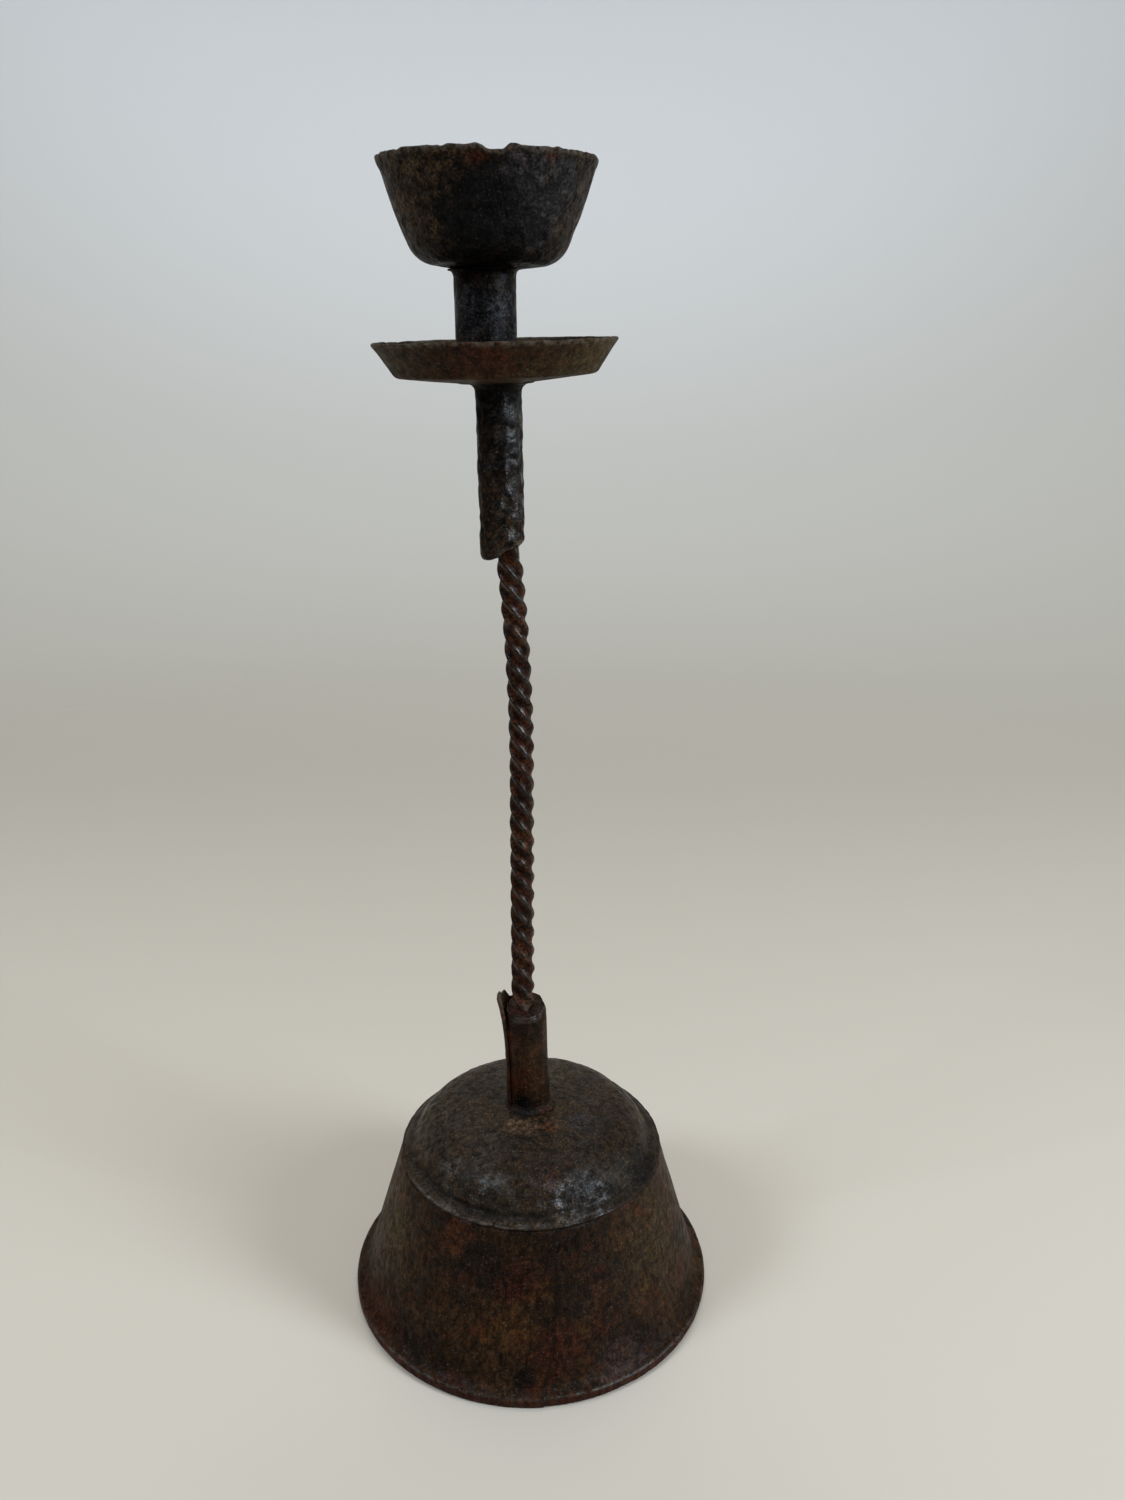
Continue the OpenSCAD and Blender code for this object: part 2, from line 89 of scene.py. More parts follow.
BAR_W = 8.1
BAR_CORNER = 1.5
STEM_LEN = 193.0
QUARTER_TURNS = 24
TWIST_EASE = 0.06
TWIST_END = 2.0
STEM_OFF = -1.1
STEM_BEND_R = 800.0
STEM_BEND_LEN = 86.0
STEM_TOP = 34.0

FERRULE_R = 8.9
FERRULE_SHEET = 1.6
FERRULE_H = 61.0
FERRULE_LEAN = 1.0
FERRULE_OFF = -2.1
FERRULE_SLANT = 12.0
FERRULE_FLARE = 2.8
COLLAR_W = 3.6
CRIMP_R = 4.0
CRIMP_TURN = 50.0

PAN_R = 43.7
PAN_H = 14.4
PAN_SHEET = 1.4
PAN_RISE = 6.5
PAN_FLARE = 34.0
PAN_BEND = 3.0
PAN_TILT = 1.9
PAN_OFF = -0.5

SOCKET_R = 11.1
SOCKET_BORE = 9.8
SOCKET_H = 36.7
SOCKET_X = -3.2
SOCKET_LEAN = 1.0
SOCKET_LIP = 1.0

CUP_R = 38.0
CUP_H = 35.2
CUP_SHEET = 1.5
CUP_RISE = 8.0
CUP_BEND = 11.0
CUP_BELLY_R = 200.0
CUP_FLARE = 24.0
CUP_RIM_FLARE = 18.0
CUP_OFF = 1.5
NOTCH_W = 11.5
NOTCH_FLOOR_W = 3.4
NOTCH_D = 1.8
NOTCH_ANGLE = 276.0

BRAZE = 2.4
CUP_FILLET = 1.7
FIT = 0.15


# Noise on points, the same in every run

LATTICE = 32
rng = np.random.default_rng(20)
LATTICE_VALUES = rng.random((4, LATTICE, LATTICE, LATTICE))


def lattice(cell, layer):
    i = np.mod(cell, LATTICE)
    return LATTICE_VALUES[layer, i[..., 0], i[..., 1], i[..., 2]]


def noise(points, size, seed=0):
    """Smooth noise from -1 to 1 whose lumps are about size across."""
    q = points / size + seed * 7.31
    cell = np.floor(q).astype(int)
    f = q - cell
    w = f * f * (3 - 2 * f)
    total = 0
    for corner in np.ndindex(2, 2, 2):
        c = np.array(corner)
        weight = np.prod(np.where(c == 1, w, 1 - w), axis=-1)
        total = total + weight * lattice(cell + c, seed % 4)
    return 2 * total - 1


def rough(points, size, octaves, seed=0):
    """Noise with finer and finer detail, from about -1 to 1."""
    total = 0
    for k in range(octaves):
        total = total + noise(points, size / 2**k, seed + k) / 2**k
    return total / 1.6


def hollows(points, size, share, seed=0):
    """Round hollows from 0 to 1 deep, one in each cell of the given size for that share of the cells."""
    q = points / size + seed * 3.17
    cell = np.floor(q).astype(int)
    deepest = np.zeros(points.shape[:-1])
    for offset in np.ndindex(3, 3, 3):
        c = cell + np.array(offset) - 1
        centre = np.stack([lattice(c, k) for k in range(3)], axis=-1)
        chance = lattice(c, 3)
        radius = 0.35 + 0.35 * lattice(c + 5, 3)
        d = np.linalg.norm(c + centre - q, axis=-1) / radius
        depth = np.where(chance < share, np.clip(1 - d * d, 0, 1), 0)
        deepest = np.maximum(deepest, depth)
    return deepest


def smooth(u):
    v = np.clip(u, 0, 1)
    return v * v * (3 - 2 * v)


# Bent sheet: a run is (length, 0) where it is straight, or (radius, turn) where it bends


def unit(a):
    return np.array([math.cos(math.radians(a)), math.sin(math.radians(a))])


def left(a):
    return np.array([-math.sin(math.radians(a)), math.cos(math.radians(a))])


def trace(p, a, runs, side, step):
    """Points along the line that lies side to the right of the sheet's own line."""
    points = []
    p = np.array(p, float) - side * left(a)
    for size, turn in runs:
        if turn == 0:
            n = max(1, math.ceil(size / step))
            points += [p + unit(a) * size * i / n for i in range(n)]
            p = p + unit(a) * size
        else:
            r = math.copysign(size, turn) + side
            n = max(4, math.ceil(abs(r) * math.radians(abs(turn)) / step))
            centre = p + r * left(a)
            points += [centre - r * left(a + turn * i / n) for i in range(n)]
            p = centre - r * left(a + turn)
            a += turn
    return np.array(points + [p]), a


def end_of(p, a, runs):
    return trace(p, a, runs, 0, 1e9)[0][-1]


def cross(u, v):
    return u[0] * v[1] - u[1] * v[0]


def closing_lengths(p, a, bends, q):
    """Lengths of the first and last straights, so that bent sheet from p ends at q."""
    gap = np.array(q) - end_of(p, a, bends)
    first, last = unit(a), unit(a + sum(turn for _, turn in bends))
    return cross(gap, last) / cross(first, last), cross(first, gap) / cross(first, last)


def closed_by_straights(p, a, bends, q):
    both = closing_lengths(p, a, bends, q)
    return [(both[0], 0), *bends, (both[1], 0)]


def round_end(start, stop, a, count=4):
    """Points of the half round between two corners of a sheet's end that faces a."""
    middle, half = (start + stop) / 2, (start - stop) / 2
    out = unit(a) * np.linalg.norm(half)
    turns = [math.pi * i / (count + 1) for i in range(1, count + 1)]
    return np.array([middle + half * math.cos(t) + out * math.sin(t) for t in turns])


class Outline:
    """The closed outline of a bent sheet: its points, which side each is on and how far along it lies."""

    def __init__(self, p, a, runs, thickness, step):
        front, end_a = trace(p, a, runs, 0, step)
        back, _ = trace(p, a, runs, thickness, step)
        back = back[::-1]
        far_end = round_end(front[-1], back[0], end_a)
        near_end = round_end(back[-1], front[0], a + 180)
        self.points = np.concatenate([front, far_end, back, near_end])
        turn = np.cos(np.pi * np.arange(1, len(far_end) + 1) / (len(far_end) + 1))
        ones = np.ones(len(front))
        self.side = np.concatenate([ones, turn, -np.ones(len(back)), -turn])
        reach = np.concatenate([[0], np.cumsum(np.linalg.norm(np.diff(front, axis=0), axis=1))])
        self.length = reach[-1]
        back_reach = np.linspace(self.length, 0, len(back))
        ends = np.ones(len(far_end))
        self.along = np.concatenate([reach, self.length * ends, back_reach, 0 * ends])
        ahead = np.roll(self.points, -1, axis=0) - np.roll(self.points, 1, axis=0)
        normal = np.stack([ahead[:, 1], -ahead[:, 0]], axis=1)
        x, z = self.points.T
        area = np.sum(x * np.roll(z, -1) - np.roll(x, -1) * z)
        self.normal = normal * np.sign(area) / np.linalg.norm(normal, axis=1, keepdims=True)


class Turned:
    """An outline turned round its axis: rows of points, one row for each angle."""

    def __init__(self, outline, angles):
        self.outline = outline
        self.angles = np.asarray(angles, float)
        t = np.radians(self.angles)[..., None] if self.angles.ndim == 1 else np.radians(self.angles)
        self.cos, self.sin = np.cos(t), np.sin(t)
        r, z = outline.points.T
        self.points = self.place(r[None, :], z[None, :])
        nr, nz = outline.normal.T
        self.normals = self.place(nr[None, :], nz[None, :])
        self.side = outline.side[None, :] + 0 * self.cos
        self.along = outline.along[None, :] + 0 * self.cos
        self.angle = np.degrees(t) + 0 * self.along

    def place(self, r, z):
        return np.stack([r * self.cos, r * self.sin, z + 0 * self.cos], axis=-1)

    def push(self, depth):
        """Moves the surface inwards by depth, as wear and pits do."""
        self.points = self.points - self.normals * depth[..., None]

    def bend(self, depth):
        """Moves both sides of the sheet together, towards its second side, as a dent does."""
        front = self.normals * self.side[..., None]
        self.points = self.points - front * depth[..., None]


def around(radius, step):
    """Angles all round a circle, step apart on it."""
    n = math.ceil(2 * math.pi * radius / step)
    return np.arange(n) * 360 / n


# Meshes


def wrapped(points, turned_over, close_first, close_last):
    """Quads of a sheet of points whose rows close on themselves."""
    rows, row = points.shape[:2]
    i, j = np.meshgrid(np.arange(rows if close_first else rows - 1), np.arange(row), indexing="ij")
    i2, j2 = (i + 1) % rows, (j + 1) % row
    quads = np.stack([i * row + j, i2 * row + j, i2 * row + j2, i * row + j2], axis=-1)
    return quads.reshape(-1, 4)


def volume(points, faces):
    a, b, c, d = (points[faces[:, k]] for k in range(4))
    return np.sum(np.cross(a, b) * c) + np.sum(np.cross(a, c) * d)


def make_piece(name, points, to_world, material, nodes, closed=True, marks=None):
    """A piece from rows of points. Open rows of points get flat ends."""
    rows, row = points.shape[:2]
    flat = points.reshape(-1, 3)
    faces = wrapped(points, False, closed, True)
    if volume(flat, faces) < 0:
        faces = faces[:, ::-1]
        out = False
    else:
        out = True
    polygons = faces.tolist()
    if not closed:
        first = list(range(row))
        last = [(rows - 1) * row + k for k in range(row)]
        polygons += end_faces(first, not out) + end_faces(last, out)
    mesh = bpy.data.meshes.new(name)
    world = np.array(to_world)
    placed = flat @ world[:3, :3].T + world[:3, 3]
    mesh.from_pydata((placed * MM).tolist(), [], polygons)
    for mark, values in (marks or {}).items():
        data = mesh.attributes.new(mark, "FLOAT", "POINT").data
        data.foreach_set("value", np.asarray(values, np.float32).ravel())
    mesh.polygons.foreach_set("use_smooth", np.ones(len(mesh.polygons), bool))
    mesh.materials.append(material)
    mesh.update()
    piece = bpy.data.objects.new(name, mesh)
    bpy.context.scene.collection.objects.link(piece)
    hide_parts(*nodes)
    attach(piece, "root")
    return piece


def end_faces(ring, outwards):
    """Quads across the end of a closed outline, from its start to its middle."""
    n = len(ring)
    quads = [[ring[k], ring[k + 1], ring[n - 2 - k], ring[n - 1 - k]] for k in range(n // 2 - 1)]
    if n % 2:
        m = n // 2
        quads.append([ring[m - 1], ring[m], ring[m + 1]])
    return quads if outwards else [q[::-1] for q in quads]


def moved(x, y, z):
    return Matrix.Translation((x, y, z))


def leaning(a):
    """A lean towards -X of a degrees."""
    return Matrix.Rotation(math.radians(-a), 4, "Y")


# Places along the candlestick, from the foot up

FOOT_Z = HEM_R - HEM_WEAR
HEM_CENTRE = np.array([BASE_R - HEM_R, FOOT_Z])
FLARE_CENTRE = HEM_CENTRE + (HEM_R + FLARE_R) * unit(HEM_ANGLE)
flare_gap = FLARE_CENTRE - np.array([SKIRT_TOP_R, SKIRT_H])
flare_reach = float(np.linalg.norm(flare_gap))
SKIRT_LEAN = math.degrees(math.atan2(flare_gap[1], flare_gap[0]) + math.acos(FLARE_R / flare_reach))
FLANGE_TURN = 90 - SKIRT_LEAN
FLANGE_TRIM = FLANGE_BEND * math.tan(math.radians(FLANGE_TURN / 2))
SKIRT_WALL = math.sqrt(flare_reach**2 - FLARE_R**2) - FLANGE_TRIM
SKIRT_START = (SKIRT_TOP_R - FLANGE_W, SKIRT_H)

CAP_R = SKIRT_TOP_R + BRIM_OUT


def sine(a):
    return math.sin(math.radians(a))


shoulder_reach = SHOULDER_R * (sine(SHOULDER_SLOPE) - sine(SHOULDER_START))
brim_reach = BRIM_BEND * sine(SHOULDER_SLOPE) + BRIM_W
crown_reach = CAP_R - brim_reach - shoulder_reach - CROWN_BEND * sine(SHOULDER_START)
CROWN_SLOPE = math.degrees(math.asin(crown_reach / (CROWN_R - CROWN_BEND)))
CAP_BENDS = [
    (CROWN_R, -CROWN_SLOPE),
    (CROWN_BEND, CROWN_SLOPE - SHOULDER_START),
    (SHOULDER_R, SHOULDER_START - SHOULDER_SLOPE),
    (BRIM_BEND, SHOULDER_SLOPE),
]
cap_reach = end_of((0, 0), 0, CAP_BENDS)
CAP_TOP = SKIRT_H + BASE_SHEET - cap_reach[1]


def crown_z(x):
    return CAP_TOP - CROWN_R + math.sqrt(CROWN_R**2 - x * x)


SLEEVE_FOOT = crown_z(SLEEVE_X)
MOUTH_X = SLEEVE_X - SLEEVE_H * math.sin(math.radians(SLEEVE_LEAN))
MOUTH_Z = SLEEVE_FOOT + SLEEVE_H * math.cos(math.radians(SLEEVE_LEAN))
STEM_X = MOUTH_X + STEM_OFF
LIP_Z = MOUTH_Z + STEM_LEN
BEND_Z = LIP_Z - STEM_BEND_LEN
BEND_SLOPE = STEM_BEND_LEN / STEM_BEND_R
LIP_X = STEM_X - STEM_BEND_LEN * BEND_SLOPE / 2
FERRULE_X = LIP_X + FERRULE_OFF
PAN_X = FERRULE_X - FERRULE_H * math.sin(math.radians(FERRULE_LEAN)) + PAN_OFF
PAN_Z = LIP_Z + FERRULE_H * math.cos(math.radians(FERRULE_LEAN))

AT_SLEEVE = moved(SLEEVE_X, 0, SLEEVE_FOOT) @ leaning(SLEEVE_LEAN)
AT_FERRULE = moved(FERRULE_X, 0, LIP_Z) @ leaning(FERRULE_LEAN)
AT_PAN = moved(PAN_X, 0, PAN_Z) @ leaning(PAN_TILT)
AT_SOCKET = AT_PAN @ moved(SOCKET_X, 0, PAN_SHEET) @ leaning(SOCKET_LEAN - PAN_TILT)
AT_CUP = AT_SOCKET @ moved(CUP_OFF, 0, SOCKET_H) @ leaning(-SOCKET_LEAN)
UPRIGHT = Matrix.Identity(4)


# Materials


def srgb(r, g, b):
    def linear(c):
        c = c / 255
        return c / 12.92 if c <= 0.04045 else ((c + 0.055) / 1.055) ** 2.4

    return (linear(r), linear(g), linear(b), 1.0)


SOOT = srgb(7, 6, 6)
BLACK = srgb(14, 12, 11)
SLATE = srgb(31, 30, 32)
UMBER = srgb(28, 17, 8)
BROWN = srgb(42, 26, 12)
DUN = srgb(44, 32, 19)
COAL = srgb(21, 15, 11)
OLIVE = srgb(47, 38, 22)
HAZEL = srgb(58, 44, 24)
GREY = srgb(40, 32, 23)
LILAC = srgb(56, 47, 51)
RED_RUST = srgb(54, 22, 11)
ORANGE_RUST = srgb(80, 41, 21)
OCHRE = srgb(66, 42, 17)
TAN = srgb(80, 60, 44)
DUST = srgb(96, 87, 76)


class Shader:
    """A material's node tree, written one node at a time."""

    def __init__(self, name):
        self.material = bpy.data.materials.new(name)
        self.material.use_nodes = True
        self.tree = self.material.node_tree
        self.tree.nodes.clear()
        self.out = self.add("ShaderNodeOutputMaterial")
        self.bsdf = self.add("ShaderNodeBsdfPrincipled")
        self.join(self.bsdf.outputs["BSDF"], self.out.inputs["Surface"])
        self.coordinates = self.add("ShaderNodeTexCoord").outputs["Object"]

    def add(self, kind, **settings):
        node = self.tree.nodes.new(kind)
        for key, value in settings.items():
            setattr(node, key, value)
        return node

    def join(self, source, target):
        self.tree.links.new(source, target)

    def set(self, target, value):
        if hasattr(value, "is_linked"):
            self.join(value, target)
        else:
            target.default_value = value

    def stretched(self, stretch, shift):
        node = self.add("ShaderNodeMapping")
        self.join(self.coordinates, node.inputs["Vector"])
        node.inputs["Scale"].default_value = stretch
        node.inputs["Location"].default_value = (shift, 0.37 * shift, 0.71 * shift)
        return node.outputs["Vector"]

    def noise(self, size, detail=4, roughness=0.6, stretch=(1, 1, 1), shift=0.0, distortion=0.0):
        node = self.add("ShaderNodeTexNoise")
        self.join(self.stretched(stretch, shift), node.inputs["Vector"])
        node.inputs["Scale"].default_value = 1 / (size * MM)
        node.inputs["Detail"].default_value = detail
        node.inputs["Roughness"].default_value = roughness
        node.inputs["Distortion"].default_value = distortion
        return node.outputs["Fac"]

    def cells(self, size, shift=0.0):
        """Distance to the nearest of scattered points."""
        node = self.add("ShaderNodeTexVoronoi")
        self.join(self.stretched((1, 1, 1), shift), node.inputs["Vector"])
        node.inputs["Scale"].default_value = 1 / (size * MM)
        return node.outputs["Distance"]

    def mark(self, name):
        return self.add("ShaderNodeAttribute", attribute_name=name).outputs["Fac"]

    def ramp(self, value, low, high, out_low=0.0, out_high=1.0):
        node = self.add("ShaderNodeMapRange", interpolation_type="SMOOTHSTEP")
        self.join(value, node.inputs["Value"])
        for key, number in zip(("From Min", "From Max", "To Min", "To Max"), (low, high, out_low, out_high)):
            node.inputs[key].default_value = number
        return node.outputs["Result"]

    def math(self, operation, a, b):
        node = self.add("ShaderNodeMath", operation=operation)
        self.set(node.inputs[0], a)
        self.set(node.inputs[1], b)
        return node.outputs[0]

    def mix(self, factor, a, b):
        node = self.add("ShaderNodeMix", data_type="RGBA")
        self.set(node.inputs["Factor"], factor)
        self.set(node.inputs["A"], a)
        self.set(node.inputs["B"], b)
        return node.outputs["Result"]

    def shade(self, colour, amount):
        """The colour made darker or paler by an amount that is one where it stays."""
        node = self.add("ShaderNodeVectorMath", operation="SCALE")
        self.join(colour, node.inputs[0])
        self.join(amount, node.inputs["Scale"])
        return node.outputs[0]

    def near(self, place, radius, ragged, shift):
        """One near a place, given in millimetres, and zero past its radius, with a ragged edge."""
        node = self.add("ShaderNodeVectorMath", operation="DISTANCE")
        self.join(self.coordinates, node.inputs[0])
        node.inputs[1].default_value = tuple(x * MM for x in place)
        edge = self.math("MULTIPLY", self.math("SUBTRACT", self.noise(ragged, 3, shift=shift), 0.5), radius * MM * 1.6)
        d = self.math("ADD", node.outputs["Value"], edge)
        return self.ramp(d, radius * MM, radius * MM * 0.45)

    def bump(self, height, depth, before=None, strength=1.0):
        node = self.add("ShaderNodeBump")
        self.join(height, node.inputs["Height"])
        node.inputs["Distance"].default_value = depth * MM
        node.inputs["Strength"].default_value = strength
        if before:
            self.join(before, node.inputs["Normal"])
        return node.outputs["Normal"]


def iron(name, base, second, dark, rust, gloss, specular, rusty=0.3, grain=1.0, contrast=1.0, lines=0.0, wax=0.5,
         dusty=0.4, polish=0.2, patches=()):
    """Old waxed iron. base and second vary in broad clouds, dark lies in blotches and rust comes through.

    gloss is the range of roughness. rusty is how much rust shows, grain how deep the fine pitting is,
    contrast how much the small mottling varies, lines how strong the fine upright streaks are and wax how
    strongly the rubbed places shine, polish how rough that shine is. dusty is how pale the specks are.
    patches are (place, radius, colour, share); some of them paint shade, light or sheen, as noted where they are
    listed.
    The pieces carry four marks: hollow is dark, worn is pale, stain is rusty and rubbed has a shine. Besides pits,
    hollow is painted shade in the cap's bend and along its right edge. Besides wear, worn is a painted highlight on the
    hem's crest and the cap's brim, and painted light inside the sleeve's flap. Besides rust, stain is painted light
    under that flap.
    """
    s = Shader(name)
    shift = 0.013 * len(name)
    colour = s.mix(s.ramp(s.noise(18, 4, 0.6, shift=shift), 0.42, 0.6), base, second)
    for k, (place, radius, paint, share) in enumerate(patches):
        here = s.near(place, radius, 5, shift + 3 + k)
        colour = s.mix(s.math("MULTIPLY", here, share), colour, paint)
    bloom = s.ramp(s.noise(9, 6, 0.68, shift=shift + 2, distortion=0.6), 0.64 - 0.25 * rusty, 0.72 - 0.12 * rusty)
    colour = s.mix(s.math("MULTIPLY", bloom, 0.5), colour, rust)
    # Stain is rust; in the gap under the sleeve's flap it is also painted light.
    stain = s.ramp(s.noise(3.5, 4, shift=shift + 16), 0.3, 0.6, 0.35, 0.9)
    colour = s.mix(s.math("MULTIPLY", s.mark("stain"), stain), colour, rust)
    blotch = s.ramp(s.noise(5, 6, 0.66, shift=shift + 1), 0.5, 0.66)
    colour = s.mix(s.math("MULTIPLY", blotch, 0.6 * contrast), colour, dark)
    medium = s.noise(2.6, 4, 0.62, shift=shift + 7)
    fine = s.noise(0.9, 3, 0.6, shift=shift + 8)
    colour = s.shade(colour, s.ramp(medium, 0.36, 0.64, 1 - 0.65 * contrast, 1 + 0.7 * contrast))
    colour = s.shade(colour, s.ramp(fine, 0.36, 0.64, 1 - 0.6 * contrast, 1 + 0.75 * contrast))
    if lines:
        streak = s.noise(1.7, 4, 0.6, (1, 1, 0.1), shift + 15)
        colour = s.shade(colour, s.ramp(streak, 0.34, 0.66, 1 - lines, 1 + 1.2 * lines))
    specks = s.ramp(s.noise(0.85, 2, 0.5, shift=shift + 9), 0.62, 0.74)
    colour = s.mix(s.math("MULTIPLY", specks, dusty), colour, DUST)
    # Hollow is dark: pits, and painted shade in the cap's bend and along its right edge.
    colour = s.mix(s.math("MULTIPLY", s.mark("hollow"), 0.8), colour, SOOT)
    # Worn is pale: wear, and also a painted highlight on the hem's crest and the cap's brim, and painted light inside
    # the sleeve's flap.
    worn = s.math("MULTIPLY", s.mark("worn"), s.ramp(s.noise(2.2, 4, shift=shift + 10), 0.4, 0.62))
    colour = s.mix(s.math("MULTIPLY", worn, 0.5), colour, DUST)
    s.join(colour, s.bsdf.inputs["Base Color"])
    shine = s.noise(4, 5, 0.65, shift=shift + 11)
    s.join(s.ramp(shine, 0.36, 0.64, gloss[0], gloss[1]), s.bsdf.inputs["Roughness"])
    s.bsdf.inputs["Specular IOR Level"].default_value = specular
    rubbed = s.math("MULTIPLY", s.mark("rubbed"), s.ramp(shine, 0.62, 0.4))
    s.join(s.math("MULTIPLY", rubbed, wax), s.bsdf.inputs["Coat Weight"])
    s.bsdf.inputs["Coat Roughness"].default_value = polish
    pitting = s.math("MINIMUM", s.cells(1.7, shift + 12), 0.45)
    normal = s.bump(pitting, 0.2 * grain, strength=0.8)
    normal = s.bump(s.noise(1.1, 5, 0.65, shift=shift + 13), 0.4 * grain, normal, 0.8)
    normal = s.bump(s.noise(6, 3, 0.5, shift=shift + 14), 0.8 * grain, normal, 0.6)
    s.join(normal, s.bsdf.inputs["Normal"])
    s.join(normal, s.bsdf.inputs["Coat Normal"])
    return s.material


CUP_PATCHES = [
    # Grey on the right front: partly the iron's grey, partly painted sheen.
    ((4, -26, 452), 24, SLATE, 0.75),
    # Dark front middle: partly a dark blotch, partly painted shade between the lit sides.
    ((-15, -32, 446), 21, SOOT, 0.97),
    # Painted shade under the cup's bottom.
    ((-13, -8, 431), 29, SOOT, 0.95),
    ((-16, -37, 465), 5, RED_RUST, 0.6),
    ((-34, -30, 465), 7, OLIVE, 0.6),
    ((9, -31, 465), 5, RED_RUST, 0.5),
    ((-1, -35, 465), 5, LILAC, 0.7),
]
PAN_PATCHES = [
    ((-16, -40, 402), 14, RED_RUST, 0.55),
    # Paler olive and hazel on the left and right sides: partly the iron's tone, partly painted sheen.
    ((-46, -22, 402), 14, OLIVE, 0.7),
    ((26, -20, 405), 17, HAZEL, 0.8),
    ((-12, 0, 395), 22, BLACK, 0.8),
]
BLACK_PATCHES = [
    ((-24, -6, 408), 9, UMBER, 0.8),
    # Painted shade at the top of the neck, under the cup.
    ((-14, -8, 436), 10, SOOT, 0.7),
    # Painted reflection: the neck's grey-blue highlight band on its right front.
    ((-8, -8, 415), 14, SLATE, 0.6),
    ((-19, -8, 418), 12, SLATE, 0.7),
    # Painted shade at the top of the ferrule, under the pan.
    ((-14, -8, 389), 13, SOOT, 0.7),
    ((-14, -6, 376), 24, SOOT, 0.4),
    ((-14, -8, 350), 16, UMBER, 0.8),
    ((-21, -6, 375), 13, UMBER, 0.45),
    # Painted shade along the ferrule's right edge.
    ((-3, -3, 372), 9, SOOT, 0.9),
    ((-3, -3, 388), 8, SOOT, 0.8),
]
SLEEVE_PATCHES = [
    ((-6, -8, 106), 9, RED_RUST, 0.6),
    # Painted shadow at the sleeve's foot.
    ((-3, -8, 92), 8, SOOT, 0.85),
    ((-7, -5, 125), 6, RED_RUST, 0.35),
    # Painted light: the inner face of the sprung flap, in the shaded gap, made pale.
    ((-12, 0, 140), 8, TAN, 0.7),
    ((-11, 2, 141), 7, DUST, 0.6),
]
CAP_PATCHES = [
    ((-15, -27, 88), 17, GREY, 0.6),
    ((38, -12, 84), 20, UMBER, 0.6),
    ((47, -24, 73), 12, BLACK, 0.7),
    ((22, -14, 88), 9, SLATE, 0.6),
    ((-8, -16.5, 89), 5.5, TAN, 0.8),
    ((8, -17.5, 89), 5, ORANGE_RUST, 0.4),
    ((-1, -17, 89), 6, TAN, 0.5),
    ((4, -38, 83), 22, UMBER, 0.6),
    ((26, -26, 85), 15, UMBER, 0.45),
    ((9, -43, 80), 7, RED_RUST, 0.3),
    # Painted shade on the steep front wall of the cap, round the shoulder's highlights.
    ((24, -46, 76), 17, COAL, 0.85),
    ((-16, -50, 75), 11, COAL, 0.5),
    ((-24, -46, 74), 8, UMBER, 0.7),
    ((-48, -2, 80), 14, OLIVE, 0.7),
    ((8, 24, 89), 20, OLIVE, 0.6),
]
BRAZE_PATCHES = [
    # Painted shadow on the fillet at the sleeve's foot.
    ((0, -8, 89), 9, SOOT, 0.8),
    ((7, -9, 90), 5, RED_RUST, 0.6),
]
SKIRT_PATCHES = [
    # Paler olive on the left side: partly the iron's tone, partly painted sheen.
    ((-60, -20, 45), 26, HAZEL, 0.7),
    ((-31, -50, 61), 12, ORANGE_RUST, 0.35),
    ((-20, -58, 52), 14, COAL, 0.75),
    ((-5, -62, 47), 13, RED_RUST, 0.35),
    ((-8, -68, 28), 14, OCHRE, 0.35),
    ((-26, -63, 28), 12, OCHRE, 0.2),
    ((16, -60, 50), 15, UMBER, 0.5),
    ((20, -61, 38), 10, COAL, 0.5),
    # Paler olive on the right side: partly the iron's tone, partly painted sheen.
    ((50, -34, 48), 26, HAZEL, 0.45),
    # Painted sheen: lilac-grey on the lower right flare.
    ((37, -66, 8), 15, LILAC, 0.2),
    ((-3, -75, 9.5), 7, SOOT, 0.85),
    ((10, -70, 20), 15, RED_RUST, 0.5),
    ((-70, -38, 6), 22, RED_RUST, 0.5),
    ((60, 14, 40), 26, OLIVE, 0.5),
    ((44, 46, 55), 22, BLACK, 0.5),
    ((30, 64, 22), 24, OCHRE, 0.3),
    ((-6, 62, 46), 20, UMBER, 0.7),
    ((-22, 68, 14), 20, OCHRE, 0.25),
    ((-44, 44, 50), 22, OLIVE, 0.6),
    ((-62, 20, 24), 20, BLACK, 0.5),
    ((8, 70, 14), 16, RED_RUST, 0.5),
]


